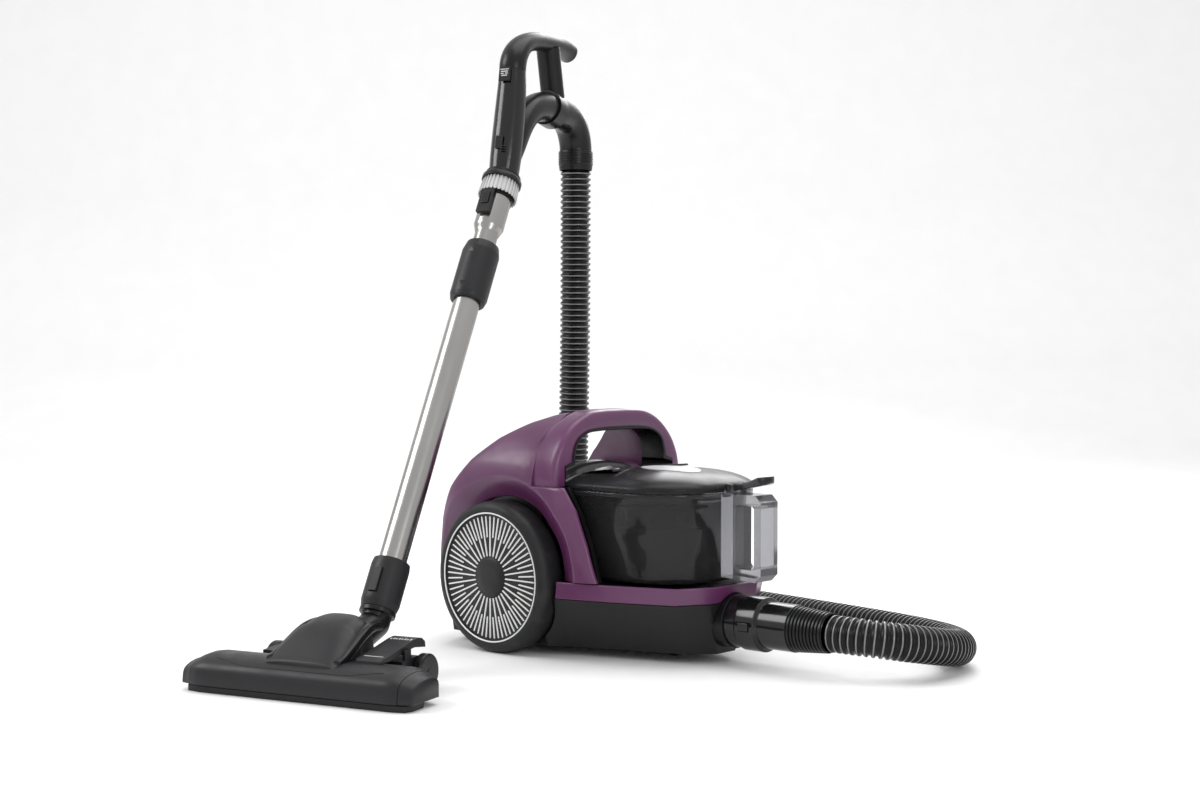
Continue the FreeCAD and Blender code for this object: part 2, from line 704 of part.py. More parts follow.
def head_rear():
    """The frame behind the cover: wheel blocks and the neck's cradle, with wheels and pedal."""
    profile = [(-18, 7.4), (34, 7.4), (39, 14), (36, 32), (14, 38), (-18, 36)]
    y, z = PEDAL_PIVOT
    radius = size("head_wheel_radius")
    pieces = [box((50, -12, 30), (53, 0, 47)), box((85, -12, 30), (88, 0, 47)),
              rod(2, 38, Vec(50, y, z), X_AXIS)]
    for name, side in (("right", 1), ("left", -1)):
        low = 50 if side > 0 else -88
        spot = Vec(0, 18, DRIVING["head_wheel_radius"])
        pieces.append(prism("YZ_Plane", profile, low, low + 38))
        pieces.append(rod(4, 22, spot + X_AXIS * 78 * side, X_AXIS * side))
        wheel = lathe([(4.06, 88.5), (radius - 1.5, 88.5), (radius, 90), (radius, 98),
                       (radius - 1.5, 99.5), (4.06, 99.5)])
        place(wheel, f"head_wheel_{name}", HEAD, turned(Y_AXIS, 90 * side, spot))
    ears = [box((low, -13, 8), (low + 5.4, 13, 52)) for low in (-28.2, 22.8)]
    plate = box((-28.2, -13, 7.4), (28.2, 13, 11))
    bridge = box((-60, 2, 7.4), (60, 12, 11))
    pivot = rod(5.06, 60, Vec(-30, 0, DRIVING["pivot_height"]), X_AXIS)
    place(without(joined(plate, bridge, *ears, *pieces), pivot), "head_frame", HEAD)
    pedal = prism("YZ_Plane", [(-54, 38.6), (-54, 42), (-34, 44.6), (14, 51), (36, 43), (35, 40),
                               (13, 46.6), (0, 45.6), (-1, 39.6), (-11, 39.6), (-12, 42),
                               (-34, 39.4)], 53.4, 84.6)
    bore = rod(2.05, 60, Vec(40, y, z), X_AXIS)
    place(without(pedal, bore), "head_pedal", HEAD)


NECK_RISE = math.degrees(math.atan2(ELBOW_POINT.z - DRIVING["pivot_height"], ELBOW_POINT.y))
NECK_LENGTH = math.hypot(ELBOW_POINT.y, ELBOW_POINT.z - DRIVING["pivot_height"])
NECK_SEAM = 36


def neck():
    """The tilting knuckle; its pipe points at the swivel elbow."""
    pivot = Vec(0, 0, DRIVING["pivot_height"])
    along = Vec(0, math.cos(math.radians(NECK_RISE)), math.sin(math.radians(NECK_RISE)))
    barrel = rod(size("knuckle_radius"), 44, pivot - X_AXIS * 22, X_AXIS)
    trunnion = rod(5, 55.6, pivot - X_AXIS * 27.8, X_AXIS)
    pipe = rod(17, NECK_SEAM, pivot, along)
    bore = rod(13, NECK_SEAM + 40, pivot - along * 30, along)
    place(without(joined(barrel, trunnion, pipe), bore), "neck_knuckle", HEAD)


# ---------------------------------------------------------------- wand

def swivel_elbow():
    bend = math.radians(90 - NECK_RISE - WAND_LEAN)
    back = Vec(0, -math.sin(bend), -math.cos(bend))
    reach = NECK_LENGTH - NECK_SEAM - 0.4
    centre = Vec(0, 0, 0)
    elbow = Part.makeSphere(17, centre).fuse(Part.makeCylinder(17, reach, centre, back))
    elbow = elbow.fuse(Part.makeCylinder(17, 14)).fuse(Part.makeCylinder(20.5, 5, Vec(0, 0, 10)))
    elbow = elbow.fuse(Part.makeCylinder(14.8, 40))
    bore = Part.makeCylinder(13, reach + 1, centre, back).fuse(Part.makeCylinder(13, 41))
    elbow = elbow.cut(bore.fuse(Part.makeSphere(13, centre)))
    place(solid(elbow), "swivel_elbow", WAND)


def wand_adapter():
    radius, tube = size("adapter_radius"), size("tube_radius")
    turned_part = lathe([(15, 15.4), (20, 15.4), (radius, 24), (radius, 66), (radius - 1, 73),
                         (tube + 0.1, 73), (tube + 0.1, 44), (15, 44)])
    recess = box((-5.4, -30, 29.6), (5.4, -18.6, 58.4))
    place(without(turned_part, recess), "wand_adapter", WAND)
    place(box((-5, -24, 30), (5, -20.6, 58)), "adapter_button", WAND)


def telescope():
    tube, inner, sleeve = size("tube_radius"), size("inner_tube_radius"), size("sleeve_radius")
    socket = size("socket_radius")
    outer_tube = lathe([(tube - 0.9, 44.4), (tube, 44.4), (tube, 440), (inner + 0.06, 440),
                        (inner + 0.06, 424), (tube - 0.9, 424)])
    slider = lathe([(tube + 0.3, 413), (sleeve - 2, 413), (sleeve, 420), (sleeve, 480),
                    (sleeve - 3, 492), (inner + 0.4, 492), (inner + 0.4, 446), (tube + 0.3, 446)])
    upper = lathe([(inner - 0.9, 150), (inner, 150), (inner, 508), (socket, 520), (socket, 560),
                   (socket - 0.9, 560), (socket - 0.9, 520.5), (inner - 0.9, 509)])
    place(outer_tube, "lower_tube", WAND)
    place(slider, "telescope_sleeve", WAND)
    place(upper, "upper_tube", WAND)


def upper_fittings():
    """The grip's spigot, its lock clip and the brush ring."""
    socket = size("socket_radius")
    spigot = lathe([(14.5, 522), (socket - 1.1, 522), (socket - 1.1, 560.4), (20, 560.4),
                    (20, 582), (socket - 1.1, 582), (socket - 1.1, 596), (14.5, 596)])
    tongue = box((-9, -24.2, 528), (9, -18.8, 561.5))
    recess = box((-5.3, -26, 539.6), (5.3, -21.6, 556.4))
    place(joined(spigot, without(tongue, recess)), "grip_spigot", WAND)
    place(box((-5, -25.6, 540), (5, -23, 556)), "lock_button", WAND)
    collar = lathe([(socket - 0.9, 583.4), (25, 583.4), (25, 591), (22, 596), (socket - 0.9, 596)])
    bristles = lathe([(20.4, 562), (23.5, 562), (24, 583.2), (20.4, 583.2)])
    place(joined(collar, bristles), "brush_ring", WAND)


# ---------------------------------------------------------------- grip

def limb(stations):
    """A loft through ellipses: each station is (y, z, lean, half_x, half_y), lean from Z to Y."""
    wires = []
    for y, z, lean, half_x, half_y in stations:
        major, minor = (half_x, half_y) if half_x >= half_y else (half_y, half_x)
        ring = Part.Wire(Part.Ellipse(Vec(0, 0, 0), major, minor).toShape())
        if half_x < half_y:
            ring.rotate(Vec(0, 0, 0), Z_AXIS, 90)
        ring.rotate(Vec(0, 0, 0), X_AXIS, -lean)
        ring.translate(Vec(0, y, z))
        wires.append(ring)
    return Part.makeLoft(wires, True, False)


GRIP_BODY = [(0, -9, 0, 18, 18), (2, 35, 2, 20, 19), (3, 95, 0, 19, 18), (1, 134, 0, 17, 16)]
GRIP_TOP = [(1, 134.3, 0, 17, 16), (8, 163, 27, 17, 14), (40, 186, 64, 16, 12),
            (85, 199, 75, 15, 12), (118, 206, 82, 14, 13), (146, 207, 90, 14, 14)]
GRIP_PLATE = [(114, 134, -22, 16, 13), (89, 194, -22, 16, 13)]
GRIP_STRUT = [(12, 26, 20, 14, 14), (21, 52, 26, 17, 16), (42, 88, 42, 18, 17),
              (67, 107, 66, 19, 18), (95, 116, 86, 20, 20)]
GRIP_ELBOW = [(118.4, 117, 88, 21, 21), (145, 121, 88, 21.5, 21.5), (168, 116, 118, 21.5, 21.5),
              (184, 101, 146, 21.5, 21.5), (191, 84, 170, 21.5, 21.5)]
OUTLET = turned(X_AXIS, -170, Vec(0, 191, 84))


def grip():
    below = Part.makeBox(80, 80, 60, Vec(-40, -40, -60.6))
    below.rotate(Vec(0, 0, 0), X_AXIS, -GRIP_BEND)
    body = limb(GRIP_BODY).cut(below)
    strut = limb(GRIP_STRUT).cut(body)
    button_recess = Part.makeBox(10.8, 9, 17, Vec(-5.4, -25, 29.5))
    ring = Part.makeCylinder(23, 22.5, Vec(0, 95.5, 116.6), Y_AXIS)
    top = limb(GRIP_TOP).fuse(limb(GRIP_PLATE)).cut(ring.fuse(strut))
    elbow = limb(GRIP_ELBOW).cut(ring.fuse(top))
    place(solid(body.cut(button_recess)), "grip_body", GRIP)
    place(solid(strut.fuse(ring)), "grip_strut", GRIP)
    place(solid(top), "grip_top", GRIP)
    place(solid(elbow), "hose_elbow", GRIP)
    place(box((-5, -19.6, 30), (5, -17.9, 46)), "grip_button", GRIP)
    place(box((-8, -19.6, 116), (8, -16.8, 134)), "suction_slider", GRIP)
    collar = lathe([(21, 0.4), (24, 0.4), (24, 6), (22.8, 26), (21, 26)])
    place(collar, "hose_collar", GRIP, OUTLET)


# ---------------------------------------------------------------- hose

# From the cuff in the nose, round on the floor behind the canister, up to the grip.
HOSE_POINTS = [(392.6, 0, 50), (428, 1, 49.5), (464, 30, 44), (479, 90, 33), (466, 150, 23),
               (422, 190, 21.8), (350, 214, 21.8), (262, 231, 21.8), (165, 247, 21.8),
               (60, 262, 21.8), (-40, 270, 22), (-110, 260, 25), (-152, 230, 42),
               (-168, 203, 85), (-166, 186, 150), (-157, 177, 235), (-149, 171, 330),
               (-142, 165, 430), (-137, 160, 530)]


def hose_route():
    start = OUTLET.multVec(Vec(0, 0, 26.3))
    end = GRIP.multVec(start)
    return [CANISTER.multVec(Vec(*point)) for point in HOSE_POINTS] + [end]


def rounded(points):
    """Straight runs joined by tangent arcs; prints each arc's radius."""
    edges, here, radii = [], points[0], []
    for before, corner, after in zip(points, points[1:], points[2:]):
        back, ahead = (before - corner).normalize(), (after - corner).normalize()
        half_turn = (math.pi - back.getAngle(ahead)) / 2
        run = 0.45 * min((before - corner).Length, (after - corner).Length)
        radius = run / math.tan(half_turn)
        radii.append(round(radius))
        enter, leave = corner + back * run, corner + ahead * run
        middle = (back + ahead).normalize()
        apex = corner + middle * (radius / math.cos(half_turn) - radius)
        edges.append(Part.LineSegment(here, enter).toShape())
        edges.append(Part.Arc(enter, apex, leave).toShape())
        here = leave
    edges.append(Part.LineSegment(here, points[-1]).toShape())
    print("hose radii", radii)
    return Part.Wire(edges)


def hose():
    route = rounded(hose_route())
    radius = DRIVING["hose_radius"]
    first = route.Edges[0]
    along = first.tangentAt(first.FirstParameter)
    ring = Part.Wire(Part.Circle(first.Vertexes[0].Point, along, radius).toShape())
    tube = route.makePipeShell([ring], True, False)
    print("hose length", round(route.Length), "volume ratio",
          round(tube.Volume / (math.pi * radius ** 2 * route.Length), 3))
    piece = solid(tube)
    piece.Label = "hose"
    nodes.append(piece)


# ---------------------------------------------------------------- build and write

for side_name, side_sign in SIDES:
    rear_wheel(side_name, side_sign)
    side_shell(side_name, side_sign)
rear_axles()
base_tray()
front_band()
bin_bay()
rear_deck()
deck_buttons()
cord_outlet()
carry_handle()
lid_duct()
motor()
cord_reel()
caster()
bin_cup()
bin_lid()
bin_handle()
cyclone()
inlet_parts()
head_shells()
head_sole()
brush_strips()
head_rear()
neck()
swivel_elbow()
wand_adapter()
telescope()
upper_fittings()
grip()
hose()
doc.recompute()

bounds = FreeCAD.BoundBox()
for node in nodes:
    shape = node.Shape
    bad = [state for state in node.State if state in ("Invalid", "Error")]
    if bad or shape.isNull() or not shape.isValid() or not shape.Solids:
        raise RuntimeError(f"{node.Label} did not build: {node.State}")
    if node.Label != "hose":
        bounds.add(shape.optimalBoundingBox(True, False))
for piece in doc.Objects:
    if "Invalid" in piece.State or "Error" in piece.State:
        raise RuntimeError(f"{piece.Label} has a fault: {piece.State}")
print("nodes", len(nodes), "centre", bounds.Center, "low", bounds.ZMin)
for node in nodes:
    node.Shape.exportStep(f"parts/{node.Label}.step")
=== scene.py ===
import json
import math

import bmesh
import bpy
from mathutils import Matrix, Vector

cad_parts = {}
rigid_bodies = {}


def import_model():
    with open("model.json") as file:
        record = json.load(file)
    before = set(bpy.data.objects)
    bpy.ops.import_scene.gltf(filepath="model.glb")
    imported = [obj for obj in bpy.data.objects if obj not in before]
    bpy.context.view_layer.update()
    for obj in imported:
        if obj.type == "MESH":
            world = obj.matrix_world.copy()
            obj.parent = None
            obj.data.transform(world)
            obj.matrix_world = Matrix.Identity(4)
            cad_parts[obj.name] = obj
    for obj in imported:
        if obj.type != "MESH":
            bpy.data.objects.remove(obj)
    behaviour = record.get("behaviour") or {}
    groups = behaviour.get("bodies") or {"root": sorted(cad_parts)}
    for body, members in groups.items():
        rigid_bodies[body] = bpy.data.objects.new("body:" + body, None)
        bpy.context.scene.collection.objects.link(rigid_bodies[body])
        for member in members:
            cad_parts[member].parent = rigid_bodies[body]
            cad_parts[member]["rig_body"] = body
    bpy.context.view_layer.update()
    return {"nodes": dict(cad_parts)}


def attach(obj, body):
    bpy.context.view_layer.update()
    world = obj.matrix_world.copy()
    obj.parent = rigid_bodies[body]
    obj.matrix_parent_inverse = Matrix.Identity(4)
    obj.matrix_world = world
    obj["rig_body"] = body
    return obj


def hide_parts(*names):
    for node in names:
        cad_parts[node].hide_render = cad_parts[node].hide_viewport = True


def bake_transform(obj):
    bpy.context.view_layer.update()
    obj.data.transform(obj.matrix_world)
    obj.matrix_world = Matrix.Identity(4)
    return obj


# The looks of a bagless canister vacuum cleaner. Lengths in the drawing frames are
# millimetres, as in the CAD; every mesh is written in metres in the row's frame.

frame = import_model()

MM = 0.001
VIEW_TURN = 42
AXLE_HEIGHT = 90
WHEEL_LIP = 94
RIM_RADIUS = 119


def moved(x, y, z):
    """A frame shifted by x, y and z."""
    return Matrix.Translation((x, y, z))


def spun(axis, degrees):
    """A frame turned about an axis."""
    return Matrix.Rotation(math.radians(degrees), 4, axis)


CANISTER = moved(-116.7, 165.3, 0)
HEAD = CANISTER @ moved(26.3, -386, 0) @ spun("Z", 16.5)
WAND = HEAD @ moved(0, 66, 58) @ spun("X", -30)
GRIP = WAND @ moved(0, 0, 597) @ spun("X", 20)
OUTLET = GRIP @ moved(0, 191, 84) @ spun("X", -170)
SIDES = (("right", -1), ("left", 1))


# ---------------------------------------------------------------- camera

def add_camera():
    """A slightly long lens, a little above the canister, that looks at its right front."""
    data = bpy.data.cameras.new("camera")
    data.lens = 52.8
    data.sensor_width = 36
    camera = bpy.data.objects.new("camera", data)
    bpy.context.scene.collection.objects.link(camera)
    place = (CANISTER @ moved(1483, -1590, 368)).translation * MM
    turn = spun("Z", VIEW_TURN) @ spun("X", 88.11)
    camera.matrix_world = Matrix.Translation(place) @ turn
    bpy.context.scene.camera = camera


add_camera()


# ---------------------------------------------------------------- materials

def linked(tree, kind, **inputs):
    """A shader node with some of its inputs set or linked."""
    node = tree.nodes.new(kind)
    for name, value in inputs.items():
        socket = node.inputs[name.replace("_", " ")]
        if isinstance(value, bpy.types.NodeSocket):
            tree.links.new(value, socket)
        else:
            socket.default_value = value
    return node


def noise_of(tree, place, scale, detail=3.0):
    """The grey output of a noise texture."""
    return linked(tree, "ShaderNodeTexNoise", Vector=place, Scale=scale, Detail=detail).outputs[0]


def mapped(tree, value, low, high, start=0.3, end=0.7):
    """The value spread from start..end to low..high."""
    node = linked(tree, "ShaderNodeMapRange", Value=value)
    for name, amount in (("From Min", start), ("From Max", end), ("To Min", low), ("To Max", high)):
        node.inputs[name].default_value = amount
    return node.outputs[0]


def mixed(tree, factor, first, second):
    """A colour between first and second, by the factor."""
    node = tree.nodes.new("ShaderNodeMix")
    node.data_type = "RGBA"
    for name, value in (("Factor", factor), ("A", first), ("B", second)):
        sockets = [s for s in node.inputs if s.name == name and s.enabled]
        if isinstance(value, bpy.types.NodeSocket):
            tree.links.new(value, sockets[-1])
        else:
            sockets[-1].default_value = (*value, 1)
    return [s for s in node.outputs if s.enabled][0]


def surface(name, colour, rough, grain=1400.0, depth=0.00006, vary=0.15, metal=0.0, coat=0.0,
            stretch=(1, 1, 1), fleck=0.0, dust=0.0, sheen=0.5):
    """A moulded or metal surface: colour drift, uneven gloss, fine grain and faint dust."""
    material = bpy.data.materials.new(name)
    material.use_nodes = True
    tree = material.node_tree
    shader = tree.nodes["Principled BSDF"]
    place = tree.nodes.new("ShaderNodeTexCoord").outputs["Object"]
    if stretch != (1, 1, 1):
        stretched = tree.nodes.new("ShaderNodeMapping")
        stretched.inputs["Scale"].default_value = stretch
        tree.links.new(place, stretched.inputs["Vector"])
        place = stretched.outputs[0]
    broad = noise_of(tree, place, 14.0)
    fine = noise_of(tree, place, grain, 2.0)
    dark = tuple(c * (1 - vary) for c in colour)
    light = tuple(min(1.0, c * (1 + vary)) for c in colour)
    tint = mixed(tree, mapped(tree, broad, 0, 1), dark, light)
    if fleck:
        sparks = mapped(tree, noise_of(tree, place, 2600.0, 0.0), 0, fleck, 0.62, 0.75)
        tint = mixed(tree, sparks, tint, tuple(min(1.0, c * 2.4 + 0.05) for c in colour))
    if dust:
        film = mapped(tree, noise_of(tree, place, 60.0, 6.0), 0, dust, 0.5, 0.8)
        tint = mixed(tree, film, tint, (0.45, 0.44, 0.42))
    tree.links.new(tint, shader.inputs["Base Color"])
    gloss = mapped(tree, noise_of(tree, place, 45.0, 4.0), rough * 0.86, min(1.0, rough * 1.16))
    tree.links.new(gloss, shader.inputs["Roughness"])
    shader.inputs["Metallic"].default_value = metal
    shader.inputs["Coat Weight"].default_value = coat
    shader.inputs["Coat Roughness"].default_value = 0.12
    shader.inputs["Specular IOR Level"].default_value = sheen
    bump = linked(tree, "ShaderNodeBump", Height=fine, Distance=depth, Strength=0.6)
    tree.links.new(bump.outputs[0], shader.inputs["Normal"])
    return material


def clear(name, colour, rough=0.03, weight=1.0, index=1.45):
    """Clear moulded plastic with a little drift in its tint and faint flow marks."""
    material = surface(name, colour, rough, grain=60.0, depth=0.00004, vary=0.06)
    shader = material.node_tree.nodes["Principled BSDF"]
    shader.inputs["Transmission Weight"].default_value = weight
    shader.inputs["IOR"].default_value = index
    return material


PURPLE = surface("purple_satin", (0.090, 0.019, 0.075), 0.34, vary=0.06, fleck=0.25, coat=0.12)
CHARCOAL = surface("charcoal_grain", (0.011, 0.011, 0.0125), 0.42, depth=0.00008, vary=0.05,
                   sheen=0.3)
TRAY = surface("tray_black", (0.009, 0.009, 0.0095), 0.42, depth=0.00008, vary=0.06, sheen=0.28)
GLOSS = surface("black_gloss", (0.004, 0.004, 0.0045), 0.15, depth=0.00002, coat=0.12, sheen=0.4)
SATIN = surface("black_satin", (0.005, 0.005, 0.0055), 0.3, depth=0.00004, sheen=0.28)
HOSE = surface("hose_black", (0.0035, 0.0035, 0.004), 0.3, grain=500, depth=0.00003, sheen=0.2)
# Light grey for the crest row of every hose rib: a painted highlight along the rib tops.
CREST_HIGHLIGHT = surface("hose_crest_highlight", (0.17, 0.17, 0.175), 0.28, grain=500, depth=0.00003, metal=0.3)
RUBBER = surface("tyre_rubber", (0.009, 0.009, 0.010), 0.5, grain=700, depth=0.00015, dust=0.03,
                 sheen=0.3)
FACE = surface("wheel_face", (0.010, 0.010, 0.011), 0.45, depth=0.00008, sheen=0.3)
SILVER = surface("silver_paint", (0.72, 0.72, 0.72), 0.35, vary=0.05)
GREY = surface("grey_plastic", (0.11, 0.11, 0.115), 0.38)
DUCT = surface("duct_grey", (0.045, 0.045, 0.048), 0.30, vary=0.10, coat=0.3)
PALE = surface("badge_silver", (0.42, 0.41, 0.42), 0.36, vary=0.06, metal=0.3, sheen=0.3)
CHROME = surface("drawn_tube", (0.36, 0.35, 0.34), 0.24, metal=1.0, grain=900, depth=0.00002,
                 stretch=(1, 1, 0.04), vary=0.08)
STEEL = surface("steel", (0.50, 0.50, 0.51), 0.3, metal=1.0)
MOTOR = surface("motor_metal", (0.25, 0.25, 0.27), 0.4, metal=0.6)
FLEECE = surface("filter_fleece", (0.55, 0.55, 0.52), 0.9, grain=500, depth=0.0004)
BRISTLE = surface("bristle", (0.42, 0.42, 0.42), 0.6, grain=1500, depth=0.0004, vary=0.3)
DARK_BRISTLE = surface("sole_bristle", (0.05, 0.05, 0.05), 0.8, grain=1500, depth=0.0006, vary=0.4)
PRINT = surface("grey_print", (0.55, 0.55, 0.56), 0.5, vary=0.05)
SMOKED = clear("smoked_clear", (0.22, 0.22, 0.225), 0.07, 0.94, 1.28)
LID_SMOKE = clear("lid_smoke", (0.035, 0.035, 0.038), 0.24, 0.6, 1.22)
CLEAR = clear("clear_plastic", (0.34, 0.34, 0.36), 0.08, 0.85, 1.3)
LEVER = clear("lever_smoke", (0.05, 0.05, 0.055), 0.12, 0.7, 1.3)


# ---------------------------------------------------------------- mesh helpers

def keep(obj, body, material, nodes=(), sharp=38):
    """Finish a piece: its material, shading, body, and the CAD nodes it stands for."""
    obj.data.materials.clear()
    obj.data.materials.append(material)
    obj.data.shade_smooth()
    obj.data.set_sharp_from_angle(angle=math.radians(sharp))
    if nodes:
        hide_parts(*nodes)
    if body:
        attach(obj, body)
    return obj


def mesh_piece(name, verts, faces, place=CANISTER):
    """A mesh drawn in one of the millimetre frames, with its faces turned outwards."""
    mesh = bpy.data.meshes.new(name)
    mesh.from_pydata([(place @ Vector(v)) * MM for v in verts], [], faces)
    mesh.validate()
    obj = bpy.data.objects.new(name, mesh)
    bpy.context.scene.collection.objects.link(obj)
    build = bmesh.new()
    build.from_mesh(mesh)
    bmesh.ops.recalc_face_normals(build, faces=build.faces)
    build.to_mesh(mesh)
    build.free()
    return obj


def lathe(profile, sides=96):
    """Corners (radius, height) turned about Z; corners on the axis are shared."""
    verts, rings = [], []
    for radius, height in profile:
        if radius < 1e-6:
            rings.append([len(verts)] * sides)
            verts.append((0, 0, height))
            continue
        rings.append(list(range(len(verts), len(verts) + sides)))
        for step in range(sides):
            angle = 2 * math.pi * step / sides
            verts.append((radius * math.cos(angle), radius * math.sin(angle), height))
    faces = []
    for low, high in zip(rings, rings[1:] + rings[:1]):
        for step in range(sides):
            after = (step + 1) % sides
            corners = list(dict.fromkeys((low[step], low[after], high[after], high[step])))
            if len(corners) > 2:
                faces.append(corners)
    return verts, faces


def rounded_edges(obj, width, segments=3):
    """Bevelled edges, in millimetres, with shading that keeps the flats flat."""
    bevel = obj.modifiers.new("edges", "BEVEL")
    bevel.width = width * MM
    bevel.segments = segments
    bevel.limit_method = "ANGLE"
    bevel.angle_limit = math.radians(30)
    bevel.use_clamp_overlap = True
    normals = obj.modifiers.new("normals", "WEIGHTED_NORMAL")
    normals.keep_sharp = True


def refined(node, material, width):
    """A finished copy of a CAD node: welded, with rounded edges."""
    mesh = frame["nodes"][node].data.copy()
    mesh.name = f"{node}_look"
    build = bmesh.new()
    build.from_mesh(mesh)
    bmesh.ops.remove_doubles(build, verts=build.verts, dist=2e-6)
    bmesh.ops.dissolve_limit(build, angle_limit=math.radians(0.6), verts=build.verts,
                             edges=build.edges)
    build.to_mesh(mesh)
    build.free()
    obj = bpy.data.objects.new(f"{node}_look", mesh)
    bpy.context.scene.collection.objects.link(obj)
    keep(obj, frame["nodes"][node]["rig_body"], material, [node])
    rounded_edges(obj, width)
    return obj


# ---------------------------------------------------------------- hose

HOSE_POINTS = [(392.6, 0, 50), (428, 1, 49.5), (464, 30, 44), (479, 90, 33), (466, 150, 23),
               (422, 190, 21.8), (350, 214, 21.8), (262, 231, 21.8), (165, 247, 21.8),
               (60, 262, 21.8), (-40, 270, 22), (-110, 260, 25), (-152, 230, 42),
               (-168, 203, 85), (-166, 186, 150), (-157, 177, 235), (-149, 171, 330),
               (-142, 165, 430), (-137, 160, 530)]
HOSE_END = (OUTLET @ moved(0, 0, 26.3)).translation


def hose_line():
    """Points along the smooth spline through the hose's route, in metres."""
    controls = [(CANISTER @ Vector(p)) * MM for p in HOSE_POINTS] + [HOSE_END * MM]
    data = bpy.data.curves.new("hose_route", "CURVE")
    data.dimensions = "3D"
    data.resolution_u = 24
    spline = data.splines.new("NURBS")
    spline.points.add(len(controls) - 1)
    for point, control in zip(spline.points, controls):
        point.co = (*control, 1)
    spline.order_u = 3
    spline.use_endpoint_u = True
    route = bpy.data.objects.new("hose_route", data)
    bpy.context.scene.collection.objects.link(route)
    bpy.context.view_layer.update()
    line = bpy.data.meshes.new_from_object(route)
    points = [v.co.copy() for v in line.vertices]
    bpy.data.objects.remove(route)
    return points


def resampled(points, count):
    """The same line as evenly spaced points."""
    reach = [0.0]
    for before, after in zip(points, points[1:]):
        reach.append(reach[-1] + (after - before).length)
    result, index = [], 0
    for step in range(count + 1):
        want = reach[-1] * step / count
        while index < len(points) - 2 and reach[index + 1] < want:
            index += 1
        span = max(reach[index + 1] - reach[index], 1e-9)
        result.append(points[index].lerp(points[index + 1], min(1, (want - reach[index]) / span)))
    return result, reach[-1]


# One rib of the hose: how far along the pitch, and the radius there.
RIB = ((0.0, 18.0), (0.16, 18.1), (0.30, 19.9), (0.42, 20.5), (0.60, 20.5), (0.72, 19.9),
       (0.86, 18.1))
SLICES = len(RIB)
CREST_SLICE = 3
HOSE_SIDES = 36
PITCH = 7.6 * MM


def swept(centre, first, last, frames, sides=HOSE_SIDES):
    """The ribbed wall between two slices of the hose's centreline, closed at both ends."""
    verts, faces = [], []
    for index in range(first, last + 1):
        radius = RIB[index % SLICES][1] * MM
        across, up = frames[index]
        for step in range(sides):
            angle = 2 * math.pi * step / sides
            verts.append(centre[index] + (across * math.cos(angle) + up * math.sin(angle)) * radius)
    rows = last - first + 1
    for row in range(rows - 1):
        for step in range(sides):
            after = (step + 1) % sides
            low, high = row * sides, (row + 1) * sides
            faces.append((low + step, low + after, high + after, high + step))
    faces.append(tuple(range(sides))[::-1])
    faces.append(tuple(range((rows - 1) * sides, rows * sides)))
    return verts, faces


def sweep_frames(centre):
    """Two cross directions at each point, carried along the line without twist."""
    frames = []
    across = None
    for index, point in enumerate(centre):
        before, after = centre[max(index - 1, 0)], centre[min(index + 1, len(centre) - 1)]
        along = (after - before).normalized()
        if across is None:
            across = along.orthogonal().normalized()
        across = (across - along * across.dot(along)).normalized()
        frames.append((across, along.cross(across)))
    return frames


def hose():
    """Three lengths of one hose, cut at two places between floor and grip; none rides on a body."""
    points = hose_line()
    rib_count = round(resampled(points, 10)[1] / PITCH)
    centre, length = resampled(points, rib_count * SLICES)
    uneven = [centre[0]]
    for index in range(1, len(centre)):
        whole, part = divmod(index, SLICES)
        share = (whole + RIB[part][0]) / rib_count
        spot = share * (len(centre) - 1)
        low = min(int(spot), len(centre) - 2)
        uneven.append(centre[low].lerp(centre[low + 1], spot - low))
    frames = sweep_frames(uneven)
    last = len(uneven) - 1
    slices = rib_count * SLICES / length
    first_cut = (last - round(0.54 * slices)) // SLICES * SLICES
    second_cut = (last - round(0.27 * slices)) // SLICES * SLICES
    lying = (CANISTER @ Vector((165, 247, 22))) * MM
    spans = (("hose_lower", 0, first_cut, "canister", "neck", lying),
             ("hose_middle", first_cut, second_cut, "neck", "lower_wand", uneven[first_cut]),
             ("hose_upper", second_cut, last, "lower_wand", "upper_wand", uneven[second_cut]))
    for name, start, end, body, next_body, rise in spans:
        verts, faces = swept(uneven, start, end, frames)
        mesh = bpy.data.meshes.new(name)
        mesh.from_pydata(verts, [], faces)
        obj = bpy.data.objects.new(name, mesh)
        bpy.context.scene.collection.objects.link(obj)
        keep(obj, None, HOSE, ["hose"], sharp=60)
        # Each rib's crest row takes the light grey: painted highlight along the rib tops.
        obj.data.materials.append(CREST_HIGHLIGHT)
        for face in obj.data.polygons[:-2]:
            row = start + face.index // HOSE_SIDES
            face.material_index = 1 if row % SLICES == CREST_SLICE else 0
        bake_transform(obj)


hose()


# ---------------------------------------------------------------- curves and lofts

def through(points, per):
    """A smooth line through the points, with per steps between each pair."""
    line = [Vector(p) for p in points]
    result = []
    for index in range(len(line) - 1):
        b, c = line[index], line[index + 1]
        a = line[index - 1] if index else b * 2 - c
        d = line[index + 2] if index + 2 < len(line) else c * 2 - b
        for step in range(per):
            t = step / per
            result.append(0.5 * (2 * b + (c - a) * t + (2 * a - 5 * b + 4 * c - d) * t * t
                                 + (3 * b - a - 3 * c + d) * t ** 3))
    result.append(line[-1])
    return result


def loft(rings, cap_end=True):
    """Faces between equal rings of points, closed at the start and, if wanted, at the end."""
    verts = [tuple(v) for ring in rings for v in ring]
    sides, rows, faces = len(rings[0]), len(rings), []
    for row in range(rows - 1):
        low, high = row * sides, (row + 1) * sides
        for step in range(sides):
            after = (step + 1) % sides
            faces.append((low + step, low + after, high + after, high + step))
    faces.append(tuple(range(sides)))
    if cap_end:
        faces.append(tuple(range((rows - 1) * sides, rows * sides)))
    return verts, faces


def between(table, value):
    """The value that a table of (place, amount) pairs gives, along straight runs."""
    for (x0, y0), (x1, y1) in zip(table, table[1:]):
        if value <= x1:
            share = max(0.0, (value - x0) / (x1 - x0))
            return y0 + (y1 - y0) * share
    return table[-1][1]


